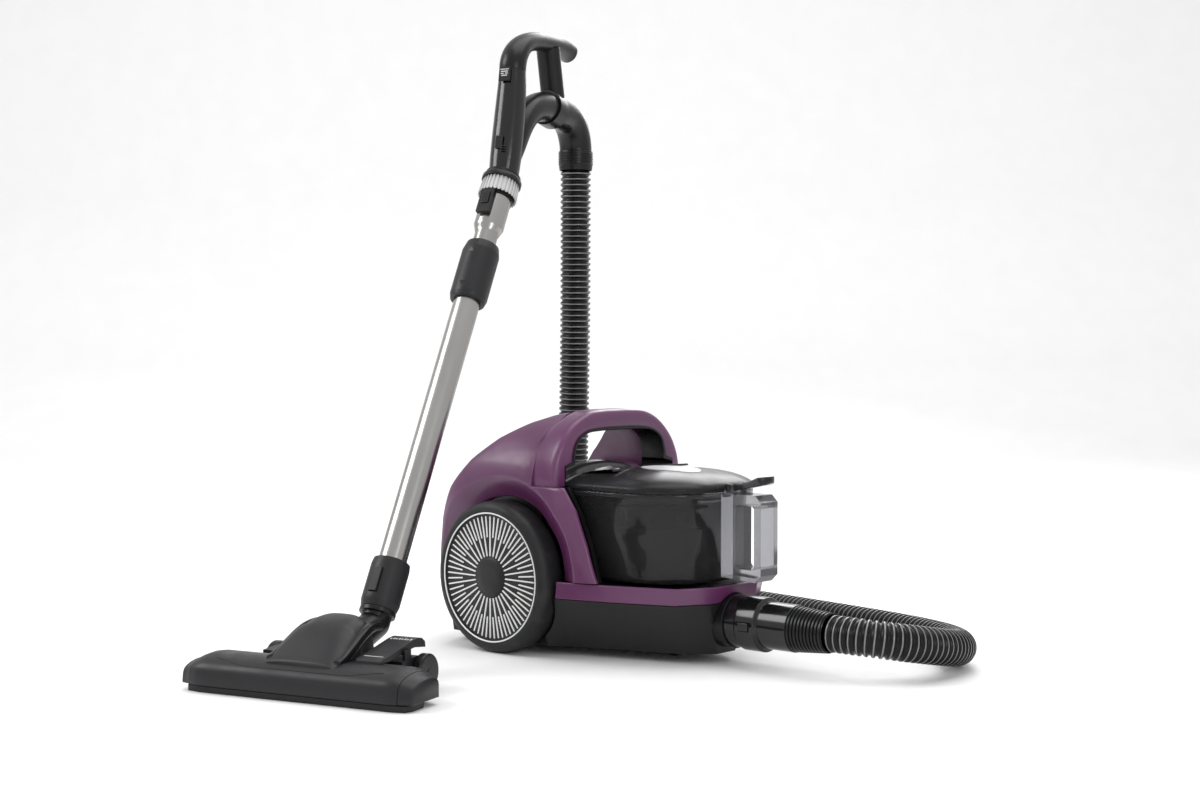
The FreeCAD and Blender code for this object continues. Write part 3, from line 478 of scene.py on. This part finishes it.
def eased(value, low, high):
    """0 up to low, 1 from high on, and a soft curve between."""
    share = min(1.0, max(0.0, (value - low) / (high - low)))
    return share * share * (3 - 2 * share)


# ---------------------------------------------------------------- rear wheels

def ribs(count, spans, width, low, high):
    """Raised radial lines; spans gives the (inner, outer) radii in turn."""
    verts, faces = [], []
    for index in range(count):
        inner, outer = spans[index % len(spans)]
        turn = spun("Z", 360 * index / count)
        shape = [(inner, 0), (inner + 0.5, width * 0.75), (inner + width, width),
                 (outer - width, width), (outer - 0.5, width * 0.75), (outer, 0)]
        shape += [(r, -w) for r, w in shape[-2:0:-1]]
        first = len(verts)
        middle = (inner + outer) / 2
        for height, scale in ((low, 1.0), (high, 0.72)):
            for r, w in shape:
                spot = (r + (middle - r) * (1 - scale) * 0.03, w * scale, height)
                verts.append(tuple(turn @ Vector(spot)))
        count_round = len(shape)
        for step in range(count_round):
            after = (step + 1) % count_round
            faces.append((first + step, first + after, first + count_round + after,
                          first + count_round + step))
        faces.append(tuple(range(first + count_round, first + 2 * count_round)))
        faces.append(tuple(range(first, first + count_round))[::-1])
    return verts, faces


def rear_wheel(name, side):
    """Tyre, dished face, silver ring and radial lines of one wheel."""
    place = CANISTER @ moved(0, 0, AXLE_HEIGHT) @ spun("X", -90 * side)
    body = f"wheel_{name}"
    tyre = [(77.2, 106), (86, 106), (88.6, 107.2), (89.8, 110), (90, 114), (90, 127), (89.4, 131.5),
            (88, 135), (85.8, 137.6), (83, 139.2), (80, 139.9), (77.6, 139.6), (77.2, 138.6)]
    keep(mesh_piece(f"tyre_{name}", *lathe(tyre, 144), place), body, RUBBER,
         [f"wheel_tyre_{name}"])
    disc = [(6.05, 108), (14, 108), (14, 133), (72, 133), (72, 110), (77, 110), (77, 138.9),
            (74.9, 138.9), (74.3, 137), (72, 136.6), (24.4, 136.6), (23.4, 136.9), (22.8, 138),
            (21.4, 138.8), (12, 139.5), (0, 139.8), (0, 136), (6.05, 135)]
    keep(mesh_piece(f"face_{name}", *lathe(disc, 144), place), body, FACE,
         [f"wheel_disc_{name}"], sharp=50)
    ring = [(75.1, 138.6), (75.3, 139.5), (75.7, 139.8), (76.5, 139.8), (76.9, 139.5), (77, 138.6)]
    keep(mesh_piece(f"face_ring_{name}", *lathe(ring, 144), place), body, SILVER)
    lines = ribs(64, ((24.6, 72.6), (47, 72.6)), 0.95, 136.4, 137.5)
    keep(mesh_piece(f"face_lines_{name}", *lines, place), body, SILVER, sharp=30)


for side_name, side_sign in SIDES:
    rear_wheel(side_name, side_sign)


# ---------------------------------------------------------------- side shells

# The shell's outline as (x, z), from the nose over the top to the rear.
SHELL_EDGE = [(150, 90), (149, 92.4), (146, 100), (135, 134), (117, 174), (97, 199.7),
              (49.7, 199.7), (49.7, 284), (34, 281), (8, 271), (-24, 253), (-58, 226), (-90, 192),
              (-112, 152), (-127, 104), (-129, 76), (-129, 70)]
# The plain wall's half width at each height.
WALL = [(74, 127), (118, 127), (170, 121), (205, 115.5), (232, 110), (253, 98), (272, 78),
        (284, 52), (296, 30)]
SHELL_START, SHELL_END = 1.3, 187.2


def shell_reach(angle):
    """How far the shell's outline is from the wheel's axis in this direction."""
    way = Vector((math.cos(angle), math.sin(angle)))
    best = 0
    for (x0, z0), (x1, z1) in zip(SHELL_EDGE, SHELL_EDGE[1:]):
        a, run = Vector((x0, z0 - AXLE_HEIGHT)), Vector((x1 - x0, z1 - z0))
        cross = way.x * run.y - way.y * run.x
        if abs(cross) < 1e-9:
            continue
        reach = (a.x * run.y - a.y * run.x) / cross
        share = (a.x * way.y - a.y * way.x) / cross
        if -1e-6 <= share <= 1 + 1e-6 and reach > 0:
            best = max(best, reach)
    return best


def wall_at(z):
    """Half width of the plain wall at height z, with its corners softened."""
    return (between(WALL, z - 8) + 2 * between(WALL, z) + between(WALL, z + 8)) / 4


def narrowing(x):
    """How much the plan draws in: a slow taper to the nose and a round corner at the rear."""
    return 0.22 * max(0.0, x - 90) + 36 * (max(0.0, -66 - x) / 62) ** 2


def shell_outside(radius, angle):
    """Half width of the shell: leaning wall, flared rim round the wheel, and its dished lip."""
    z = AXLE_HEIGHT + radius * math.sin(angle)
    wall = wall_at(z) - narrowing(radius * math.cos(angle))
    rim = wall_at(AXLE_HEIGHT + RIM_RADIUS * math.sin(angle))
    rim -= narrowing(RIM_RADIUS * math.cos(angle))
    rim += 0.8 + 3.5 * max(0, math.sin(angle)) ** 2
    if radius <= RIM_RADIUS:
        return rim - (12 + 6 * max(0, math.sin(angle + 0.6))) * (1 - eased(radius, 84, 124))
    return wall + (rim - wall) * (1 - eased(radius, 110, 160))


def side_shell(name, side):
    """One shell as radial slices round the wheel's axis, from its lip to its outline."""
    rings = []
    steps = 150
    for step in range(steps + 1):
        angle = math.radians(SHELL_START + (SHELL_END - SHELL_START) * step / steps)
        reach = shell_reach(angle)
        stops = [94.8, 96, 99, 103, 107, 111, 114.5, 117, 119.2, 121.5, 125]
        stops = [r for r in stops if r < reach - 4]
        rest = 15 - len(stops)
        last = stops[-1]
        stops += [last + (reach - 1.6 - last) * (k + 1) / rest for k in range(rest)]
        outer = [(WHEEL_LIP, -14), (WHEEL_LIP, -1.2)] + [(r, 0) for r in stops]
        outer += [(reach - 0.5, -0.6), (reach, -1.8)]
        rows = []
        for radius, drop in outer:
            rows.append((radius, shell_outside(radius, angle) + drop))
        back = [(r, shell_outside(r, angle) - 4.2) for r in (reach, *stops[::-2])]
        back.append((97, rows[0][1]))
        ring = []
        for radius, y in rows + back:
            z = AXLE_HEIGHT + radius * math.sin(angle)
            ring.append((radius * math.cos(angle), side * y, z))
        rings.append(ring)
    shell = mesh_piece(f"shell_{name}", *loft(rings))
    keep(shell, "canister", PURPLE, [f"side_shell_{name}"], sharp=42)


for side_name, side_sign in SIDES:
    side_shell(side_name, side_sign)


def shell_height(x):
    """The height of the shells' top edge at x."""
    best = AXLE_HEIGHT
    for (x0, z0), (x1, z1) in zip(SHELL_EDGE, SHELL_EDGE[1:]):
        if x1 < x0 and x1 <= x <= x0:
            best = max(best, z0 + (z1 - z0) * (x - x0) / (x1 - x0))
    return best


def shell_cowl():
    """The dark cowl behind the arch that closes the space between the two shells' top edges."""
    rings = []
    for x in (48.8, 40, 30, 18, 6):
        edge = shell_height(x)
        half = wall_at(edge) - 5.4
        sunk = 3.2 + 7 * (1 - eased(x, 4, 16))
        ring = []
        for step in range(25):
            y = half * math.cos(math.pi * step / 24)
            ring.append((x, y, edge - sunk + 1.8 * (1 - (y / half) ** 2)))
        ring += [(x, y, z - 2.4) for _, y, z in reversed(ring)]
        rings.append(ring)
    keep(mesh_piece("shell_cowl", *loft(rings)), "canister", SATIN, sharp=45)


shell_cowl()


# ---------------------------------------------------------------- carrying handle

def clear_of_lid(x, y, z):
    """The feet of the arch stand outside the lid, so that it can open and leave with the bin."""
    if x > 60 and z < 224:
        y = math.copysign(max(abs(y), 97.4), y)
    return (x, y, z)


def carry_handle():
    """The arch with its soft edges, and the dark trim round the hand's opening."""
    half_out = [(-115.5, 199.8), (-115, 212), (-110, 232), (-98, 253), (-78, 272), (-52, 284),
                (-24, 286.8), (0, 287)]
    half_in = [(-82, 199.8), (-82, 216), (-81, 236), (-74, 252), (-58, 261), (-38, 263.4),
               (-18, 264), (0, 264)]
    outer = through(half_out + [(-y, z) for y, z in half_out[-2::-1]], 5)
    inner = through(half_in + [(-y, z) for y, z in half_in[-2::-1]], 5)
    rings, trims = [], []
    for out, into in zip(outer, inner):
        way = out - into
        depth = way.length
        way.normalize()
        soft = 1 - eased(abs(out.x), 66, 92)
        section = [(50, 0.5), (50, depth - 6), (50 + 1.5 * soft, depth - 2.2 * soft),
                   (50 + 5 * soft, depth), (60, depth),
                   (74, depth), (79.5, depth - 0.4), (82.8, depth - 3), (84, depth - 8), (84, 2),
                   (83.4, 0.5), (82, 0), (51, 0)]
        rings.append([clear_of_lid(x, *(into + way * d)) for x, d in section])
        lip = [(49.6, -0.1), (49.6, -1.6), (84.6, -1.6), (85.4, -0.8), (85.4, 2.4), (84.2, 2.6),
               (83.8, 0.2)]
        trims.append([clear_of_lid(x, *(into + way * d)) for x, d in lip])
    arch = mesh_piece("handle_arch", *loft(rings))
    keep(arch, "canister", PURPLE, ["carry_handle"], sharp=45)
    trim = mesh_piece("handle_trim", *loft(trims))
    keep(trim, "canister", SATIN, sharp=35)


carry_handle()


# ---------------------------------------------------------------- dust bin

def arc_through(a, b, c, count):
    """Points from a to c round the circle through a, b and c."""
    (ax, ay), (bx, by), (cx, cy) = a, b, c
    d = 2 * (ax * (by - cy) + bx * (cy - ay) + cx * (ay - by))
    ux = ((ax * ax + ay * ay) * (by - cy) + (bx * bx + by * by) * (cy - ay)
          + (cx * cx + cy * cy) * (ay - by)) / d
    uy = ((ax * ax + ay * ay) * (cx - bx) + (bx * bx + by * by) * (ax - cx)
          + (cx * cx + cy * cy) * (bx - ax)) / d
    radius = math.hypot(ax - ux, ay - uy)
    start = math.atan2(ay - uy, ax - ux)
    end = math.atan2(cy - uy, cx - ux)
    middle = math.atan2(by - uy, bx - ux)
    if not min(start, end) <= middle <= max(start, end):
        if end < start:
            end += 2 * math.pi
        else:
            start += 2 * math.pi
    turns = [start + (end - start) * k / count for k in range(count)]
    return [(ux + radius * math.cos(t), uy + radius * math.sin(t)) for t in turns]


def bin_outline():
    """The bin's plan: flat back, straight sides and a round front."""
    half = [(66, -72), (73, -88), (90, -94), (176, -94), (229, -71), (248, -24), (250, 0)]
    flip = [(x, -y) for x, y in half]
    line = arc_through(half[0], half[1], half[2], 7)
    line += [(90 + 86 * k / 10, -94) for k in range(10)]
    line += arc_through(half[3], half[4], half[5], 16)
    line += arc_through(half[5], half[6], flip[5], 10)
    line += arc_through(flip[5], flip[4], flip[3], 16)
    line += [(176 - 86 * k / 10, 94) for k in range(10)]
    line += arc_through(flip[2], flip[1], flip[0], 7)
    line += [(66, 72 - 144 * k / 12) for k in range(12)]
    return line


BIN = bin_outline()
LID_CROWN = [(-1.6, 201.4), (-0.8, 203.2), (1.5, 205.4), (6, 208), (13, 211.2), (24, 214.6),
             (38, 217.4), (54, 219.4), (66, 220.5)]


def bin_ring(inset, z):
    """The outline drawn in by inset, at height z."""
    count = len(BIN)
    ring = []
    for index, (x, y) in enumerate(BIN):
        before, after = Vector(BIN[index - 1]), Vector(BIN[(index + 1) % count])
        along = (after - before).normalized()
        ring.append((x - along.y * inset, y + along.x * inset, z))
    return ring


def dust_bin():
    """The clear cup, the smoky lid and the plain badge on the lid."""
    cup_rows = [(60, 93.8), (30, 93.8), (12, 93.8), (9, 94.4), (7.6, 96), (6.8, 100), (3.4, 146),
                (0.3, 190), (-0.9, 191), (-1.4, 192.5), (-1.4, 195.6), (-0.8, 196.2), (2.2, 196.2),
                (2.5, 190), (6, 146), (9.4, 100), (10.6, 97.4), (13, 96.4), (30, 96.4), (60, 96.4)]
    cup = mesh_piece("bin_wall", *loft([bin_ring(i, z) for i, z in cup_rows]))
    keep(cup, "bin", SMOKED, ["bin_cup"], sharp=50)
    lid_rows = [(1.5, 197.2), (-1.2, 197.2), (-1.6, 198)] + LID_CROWN
    inner = [(i + 2.2, z - 2.4) for i, z in lid_rows[:3:-1]] + [(1.5, 200)]
    lid = mesh_piece("bin_cover", *loft([bin_ring(i, z) for i, z in lid_rows + inner]))
    keep(lid, "lid", LID_SMOKE, ["bin_lid"], sharp=50)
    label = []
    for scale, height in ((1.0, -0.3), (1.0, 0.5), (0.965, 0.9), (0.93, 0.9), (0.9, 0.6),
                          (0.5, 0.7), (0.02, 0.8)):
        ring = []
        for step in range(72):
            angle = 2 * math.pi * step / 72
            x, y = 170 + 40 * scale * math.cos(angle), -8 + 27 * scale * math.sin(angle)
            ring.append((x, y, lid_height(x, y) + height))
        label.append(ring)
    keep(mesh_piece("lid_badge", *loft(label)), "lid", PALE, sharp=30)


def lid_height(x, y):
    """The lid's outer height, from how far in the point is."""
    inset = LID_CROWN[-1][0]
    for px, py in BIN:
        inset = min(inset, math.hypot(x - px, y - py))
    return between(LID_CROWN, inset)


dust_bin()


# ---------------------------------------------------------------- outlet duct

def outlet_duct():
    """The rounded grey hood that leads from under the arch to the lid."""
    rings = []
    for step in range(29):
        y = -66 + 132 * step / 28
        crown = math.sqrt(max(0.0, 1 - (y / 67) ** 2))
        top = 199.5 + 25 * crown ** 0.8
        rings.append([(24, y, 197.5), (24, y, 198 + (top - 198) * 0.72), (32, y, top - 1.8),
                      (42, y, top), (52, y, top - 0.5), (57.4, y, top - 2.5),
                      (58.4, y, top - 5 * crown), (58.4, y, 198.6)])
    hood = mesh_piece("duct_hood", *loft(rings))
    keep(hood, "canister", DUCT, ["outlet_duct"], sharp=50)


outlet_duct()


# ---------------------------------------------------------------- floor head

HEAD_FOOT = 7.4
HEAD_MIDDLE = -60
HEAD_SECTION = [(-92, HEAD_FOOT), (-94.6, 8.6), (-95, 12), (-93.2, 24), (-91, 28.6), (-86, 32.4),
                (-77, 36), (-66, 38.4), (-54, 39), (-43, 38), (-33, 35.4), (-28, 31.5), (-26, 26),
                (-26, HEAD_FOOT)]
HEAD_TOP = HEAD_SECTION[3:9]
# The hump, front to back: y, half width and height.
DOME = [(-76, 44, 37), (-70, 44, 41), (-62, 43.5, 47), (-52, 43, 54.5), (-42, 42.5, 61.5),
        (-31, 42, 67.5), (-20, 41, 71.8), (-9, 40, 74.6), (-1, 38.5, 75.6), (3.6, 37.5, 75.6)]


def head_section(x):
    """The head's section at x, drawn in towards both ends."""
    end = eased(abs(x), 116, 146)
    ring = []
    for y, z in HEAD_SECTION:
        ring.append((x, HEAD_MIDDLE + (y - HEAD_MIDDLE) * (1 - 0.24 * end),
                     HEAD_FOOT + (z - HEAD_FOOT) * (1 - 0.30 * end)))
    return ring


def head_cover():
    """The middle of the cover, and its two end caps."""
    rings = [head_section(-127.6 + 255.2 * k / 40) for k in range(41)]
    body = mesh_piece("head_body", *loft(rings), HEAD)
    keep(body, "canister", CHARCOAL, ["head_cover"], sharp=50)
    for name, side in (("right", 1), ("left", -1)):
        rings = [head_section(side * (128.2 + 13.2 * k / 8)) for k in range(9)]
        rings.append([(side * 142.8, HEAD_MIDDLE + (y - HEAD_MIDDLE) * 0.86, 18 + (z - 18) * 0.86)
                      for _, y, z in rings[-1]])
        cap = mesh_piece(f"head_end_{name}", *loft(rings), HEAD)
        keep(cap, "canister", CHARCOAL, ["head_end_caps"], sharp=50)


def head_dome():
    """The hump in front of the neck, open towards it."""
    rings = []
    for y, half, top in through(DOME, 3):
        foot = 28 if y < -27 else 9
        ring = []
        for step in range(33):
            angle = math.pi * step / 32
            across = math.copysign(abs(math.cos(angle)) ** 0.62, math.cos(angle))
            ring.append((half * across, y, foot + (top - foot) * math.sin(angle) ** 0.5))
        rings.append(ring)
    shell = mesh_piece("head_dome", *loft(rings, cap_end=False), HEAD)
    thick = shell.modifiers.new("thickness", "SOLIDIFY")
    thick.thickness = -0.0026
    keep(shell, "canister", CHARCOAL, sharp=60)


def head_rails_painted_shade():
    """The rails that run down both flanks of the hump from the neck; their black satin, darker than
    the cover, is painted shade along the hump's side edges.
    """
    for name, side in (("left", -1), ("right", 1)):
        path = through([(side * 35.4, 21, 66), (side * 36.4, 6, 67), (side * 38.5, -8, 65),
                        (side * 40, -24, 59), (side * 41, -42, 50), (side * 41.8, -58, 42.5),
                        (side * 42, -70, 38.5)], 5)
        rings = []
        for x, y, z in path:
            rings.append([(x - side * 3, y - 1, z + 3.2), (x, y, z + 4),
                          (x + side * 3.4, y + 1, z + 2.6), (x + side * 4.6, y + 1.4, z - 2.5),
                          (x + side * 3.6, y + 1, z - 6), (x - side * 3, y - 1, z - 6)])
        keep(mesh_piece(f"head_rail_painted_shade_{name}", *loft(rings), HEAD), "canister", SATIN, sharp=40)


def head_seam():
    """The thin line along the front of the cover."""
    seam = []
    for step in range(41):
        x = -104 + 208 * step / 40
        y = -87 + 9 * eased(abs(x), 60, 104)
        z = between(HEAD_TOP, y)
        seam.append([(x, y - 0.45, z - 0.6), (x, y - 0.35, z + 0.25), (x, y + 0.35, z + 0.5),
                     (x, y + 0.45, z - 0.4)])
    keep(mesh_piece("head_seam", *loft(seam), HEAD), "canister", SATIN)


PEDAL_TOP = [(-50, 43), (-34, 45.6), (-12, 50.2), (10, 54.6), (20, 55.6)]


def head_pedal():
    """The rocking pedal with its row of marks."""
    under = [(29, 54), (34.6, 50), (35.6, 43.6), (14, 46.4), (0, 45.4), (-12, 43.4), (-34, 39.6)]
    profile = [(-54.5, 39), (-54, 41.4)] + PEDAL_TOP + under
    rings = []
    for x, scale in ((53.4, 0.97), (54.6, 1), (60, 1), (69, 1), (78, 1), (83.4, 1), (84.6, 0.97)):
        rings.append([(x, -8 + (y + 8) * scale, 47 + (z - 47) * scale) for y, z in profile])
    pedal = mesh_piece("pedal_plate", *loft(rings), HEAD)
    keep(pedal, "pedal", CHARCOAL, ["head_pedal"], sharp=30)
    verts, faces = [], []
    marks = [(57 + 3.4 * k, 8, 1.7, 2.6 + (k % 2) * 1.6) for k in range(8)] + [(57, -42, 23, 0.9)]
    for x, y, wide, deep in marks:
        first = len(verts)
        for lift in (-0.3, 0.22):
            for dx, dy in ((0, 0), (wide, 0), (wide, deep), (0, deep)):
                level = between(PEDAL_TOP, y + dy)
                verts.append((x + dx, y + dy, level + lift))
        faces += [(first + a, first + b, first + c, first + d) for a, b, c, d in
                  ((0, 1, 2, 3), (4, 5, 6, 7), (0, 1, 5, 4), (1, 2, 6, 5), (2, 3, 7, 6),
                   (3, 0, 4, 7))]
    keep(mesh_piece("pedal_marks", verts, faces, HEAD), "pedal", PRINT)


head_cover()
head_dome()
head_rails_painted_shade()
head_seam()
head_pedal()


# ---------------------------------------------------------------- wand and grip

def brush_ring():
    """The dark collar and its skirt of tapered tufts."""
    collar = [(17.8, 583.4), (24, 583.4), (25, 584.6), (25, 589), (24, 590.6), (22.4, 591.4),
              (22.2, 595.6), (17.8, 596)]
    keep(mesh_piece("brush_collar", *lathe(collar, 72), WAND), "upper_wand", SATIN, ["brush_ring"])
    verts, faces = [], []
    for row, (radius, count, reach) in enumerate(((22.6, 30, 562.6), (21.4, 30, 564.5))):
        for index in range(count):
            turn = spun("Z", 360 * (index + 0.5 * row) / count)
            first = len(verts)
            levels = ((583.4, 0.9, 0), (576, 1.7, 0.2), (568, 1.9, 0.6), (reach, 1.5, 0.9))
            for height, wide, push in levels:
                for side in range(6):
                    angle = math.pi * side / 3
                    out = radius + push + wide * 0.62 * math.cos(angle)
                    verts.append(tuple(turn @ Vector((out, wide * math.sin(angle), height))))
            for level in range(3):
                low, high = first + level * 6, first + level * 6 + 6
                for side in range(6):
                    after = (side + 1) % 6
                    faces.append((low + side, low + after, high + after, high + side))
            faces.append(tuple(range(first + 18, first + 24)))
            faces.append(tuple(range(first, first + 6)))
    keep(mesh_piece("brush_tufts", verts, faces, WAND), "upper_wand", BRISTLE, sharp=60)


def hose_collar():
    """The turning collar at the elbow's end, with fine finger ridges."""
    profile = [(21, 0.4), (22.6, 0.4), (23, 1)]
    for index in range(5):
        z = 3 + 3.4 * index
        profile += [(22.9, z), (23.5, z + 0.5), (23.5, z + 1.4), (22.8, z + 1.9)]
    profile += [(22.2, 24), (21.8, 26), (21, 26)]
    keep(mesh_piece("collar_ridged", *lathe(profile, 72), OUTLET), "collar", SATIN, ["hose_collar"])


def sleeve_marks():
    """Two raised arrowheads on the sleeve that point along the wand."""
    verts, faces = [], []
    for middle, way in ((474, 1), (428, -1)):
        first = len(verts)
        for reach in (22.6, 23.3):
            for across, along in ((-4, -2.4), (4, -2.4), (0, 3.4)):
                turn = spun("Z", across * 2.45)
                verts.append(tuple(turn @ Vector((0, -reach, middle + way * along))))
        faces += [(first, first + 1, first + 2), (first + 3, first + 4, first + 5),
                  (first, first + 1, first + 4, first + 3),
                  (first + 1, first + 2, first + 5, first + 4),
                  (first + 2, first, first + 3, first + 5)]
    keep(mesh_piece("sleeve_arrows", verts, faces, WAND), "sleeve", GLOSS)


def cuff_sleeve():
    """The flexible sleeve on the cuff: narrow ribs that taper down to the hose."""
    profile = [(21, 347.4), (25.2, 347.4), (25.6, 348)]
    for index in range(10):
        x = 347.8 + 4.4 * index
        out = 25.7 - 0.36 * index
        profile += [(out, x + 0.6), (out, x + 2.2), (out - 0.5, x + 2.7), (out - 2.1, x + 3),
                    (out - 2.1, x + 4.1)]
    profile += [(21.6, 392.1), (21, 392.1)]
    inlet = CANISTER @ moved(0, 0, 50) @ spun("Y", 90)
    keep(mesh_piece("sleeve_ribbed", *lathe(profile, 80), inlet), "cuff", SATIN, ["cuff_sleeve"],
         sharp=40)


def small_bars(name, body, material, place, bars):
    """Thin raised bars, each given by two opposite corners."""
    verts, faces = [], []
    for low, high in bars:
        first = len(verts)
        verts += [(x, y, z) for z in (low[2], high[2]) for y in (low[1], high[1])
                  for x in (low[0], high[0])]
        faces += [tuple(first + k for k in side) for side in
                  ((0, 1, 3, 2), (4, 5, 7, 6), (0, 1, 5, 4), (2, 3, 7, 6), (0, 2, 6, 4),
                   (1, 3, 7, 5))]
    piece = mesh_piece(name, verts, faces, place)
    keep(piece, body, material)
    rounded_edges(piece, 0.15, 2)


def release_lever():
    """The smoky lever at the top of the bin's handle, with its raised thumb tab."""
    rings = []
    for step in range(25):
        x = 255.8 + 54 * step / 24
        end = min(1.0, (310.2 - x) / 8)
        half = (10.3 + 4.7 * eased(x, 267, 278)) * math.sqrt(max(0.05, end))
        low = between([(255.8, 199.4), (263, 199.2), (276, 201.6), (298, 206), (310, 210)], x)
        high = between([(255.8, 206.4), (263, 207.4), (276, 208.4), (290, 212), (300, 216.4),
                        (310, 217.4)], x)
        rings.append([(x, -half, low + 0.8), (x, -half + 0.8, low), (x, half - 0.8, low),
                      (x, half, low + 0.8), (x, half, high - 1.4), (x, half - 1.4, high),
                      (x, 0, high - 0.5), (x, -half + 1.4, high), (x, -half, high - 1.4)])
    keep(mesh_piece("lever_thumb", *loft(rings)), "lever", LEVER, ["release_lever"],
         sharp=50)
    ear = [(2.4, -2), (4.3, -1.6), (4.6, 0), (4.3, 1.6), (2.4, 2)]
    for name, side in SIDES:
        verts, faces = lathe(ear, 32)
        turn = moved(260, side * 15.4, 203.4) @ spun("X", 90)
        boss = mesh_piece(f"lever_boss_{name}", [tuple(turn @ Vector(v)) for v in verts], faces)
        keep(boss, "lever", LEVER, sharp=30)


brush_ring()
hose_collar()
sleeve_marks()
release_lever()
cuff_sleeve()
small_bars("slider_marks", "air_slider", PRINT, GRIP,
           [((-6, -20.0, 130.2), (6, -19.5, 131.2)), ((-5, -20.0, 127.4), (5, -19.5, 128.6)),
            ((-5, -20.0, 124.8), (-1, -19.5, 126)), ((1, -20.0, 124.8), (5, -19.5, 126)),
            ((-4, -20.0, 122.2), (4, -19.5, 123.4))])
small_bars("grip_vent", "upper_wand", SATIN, GRIP,
           [((4, -19.4, 26), (10, -18.2, 27.2)), ((4, -19.4, 29), (10, -18.2, 30.2)),
            ((4, -19.4, 32), (10, -18.2, 33.2)), ((3, -19.4, 26), (4.2, -18.2, 33.2))])


# ---------------------------------------------------------------- carried-over nodes

PLAIN = {
    PURPLE: ["front_band"],
    TRAY: ["base_tray"],
    CHARCOAL: ["head_sole", "head_frame", "wand_adapter", "adapter_button", "telescope_sleeve",
               "caster_fork", "power_button", "rewind_button", "cyclone"],
    SATIN: ["bin_bay", "rear_deck", "cord_outlet", "inlet_socket", "neck_knuckle", "hose_elbow",
            "swivel_elbow", "grip_spigot", "grip_top", "suction_slider", "head_wheel_left",
            "head_wheel_right", "grip_strut"],
    GLOSS: ["hose_cuff", "grip_body", "lock_button", "grip_button", "cuff_latch_left",
            "cuff_latch_right"],
    GREY: ["reel_stand", "cord_drum"],
    CLEAR: ["bin_handle"],
    RUBBER: ["caster_wheel"],
    CHROME: ["lower_tube", "upper_tube"],
    STEEL: ["rear_axles"],
    MOTOR: ["motor_housing", "motor_rotor"],
    FLEECE: ["motor_filters", "lid_filter"],
    DARK_BRISTLE: ["brush_strips"],
}
WIDTHS = {"base_tray": 2.0, "front_band": 1.5, "bin_handle": 1.2, "grip_body": 0.8}
SMOOTHED = {"base_tray": 48, "front_band": 48}
for material, names in PLAIN.items():
    for node_name in names:
        piece = refined(node_name, material, WIDTHS.get(node_name, 0.6))
        if node_name in SMOOTHED:
            piece.data.set_sharp_from_angle(angle=math.radians(SMOOTHED[node_name]))
            piece.modifiers["edges"].angle_limit = math.radians(SMOOTHED[node_name])


# ---------------------------------------------------------------- stage

def stage():
    """A pale floor that rises into a pale backdrop, and soft studio light."""
    verts, faces = [], []
    profile = [(-6, 0), (2.2, 0), (2.7, 0.06), (3.1, 0.3), (3.4, 0.8), (3.5, 4.5)]
    turn = spun("Z", VIEW_TURN)
    for y, z in profile:
        for x in (-7, 7):
            verts.append(turn @ Vector((x, y, z)))
    for row in range(len(profile) - 1):
        faces.append((2 * row, 2 * row + 1, 2 * row + 3, 2 * row + 2))
    mesh = bpy.data.meshes.new("floor")
    mesh.from_pydata(verts, [], faces)
    floor = bpy.data.objects.new("floor", mesh)
    bpy.context.scene.collection.objects.link(floor)
    floor.data.materials.append(surface("floor_pale", (0.86, 0.86, 0.86), 0.7, vary=0.01))
    floor.data.shade_smooth()
    world = bpy.data.worlds.new("world")
    world.use_nodes = True
    world.node_tree.nodes["Background"].inputs[0].default_value = (1, 1, 1, 1)
    world.node_tree.nodes["Background"].inputs[1].default_value = 0.85
    bpy.context.scene.world = world
    bpy.context.scene.view_settings.view_transform = "Standard"
    lights = (("key", (-1.7, -1.6, 2.0), 1.3, 34), ("fill", (2.4, -0.9, 1.2), 1.0, 12),
              ("top", (0.2, 0.6, 2.8), 2.2, 34), ("rim", (-0.9, 2.0, 1.6), 1.2, 20))
    for name, spot, size, power in lights:
        data = bpy.data.lights.new(name, "AREA")
        data.size = size
        data.energy = power
        light = bpy.data.objects.new(name, data)
        light.location = spot
        aim = Vector((0, 0, 0.25)) - Vector(spot)
        light.rotation_euler = aim.to_track_quat("-Z", "Y").to_euler()
        bpy.context.scene.collection.objects.link(light)


stage()
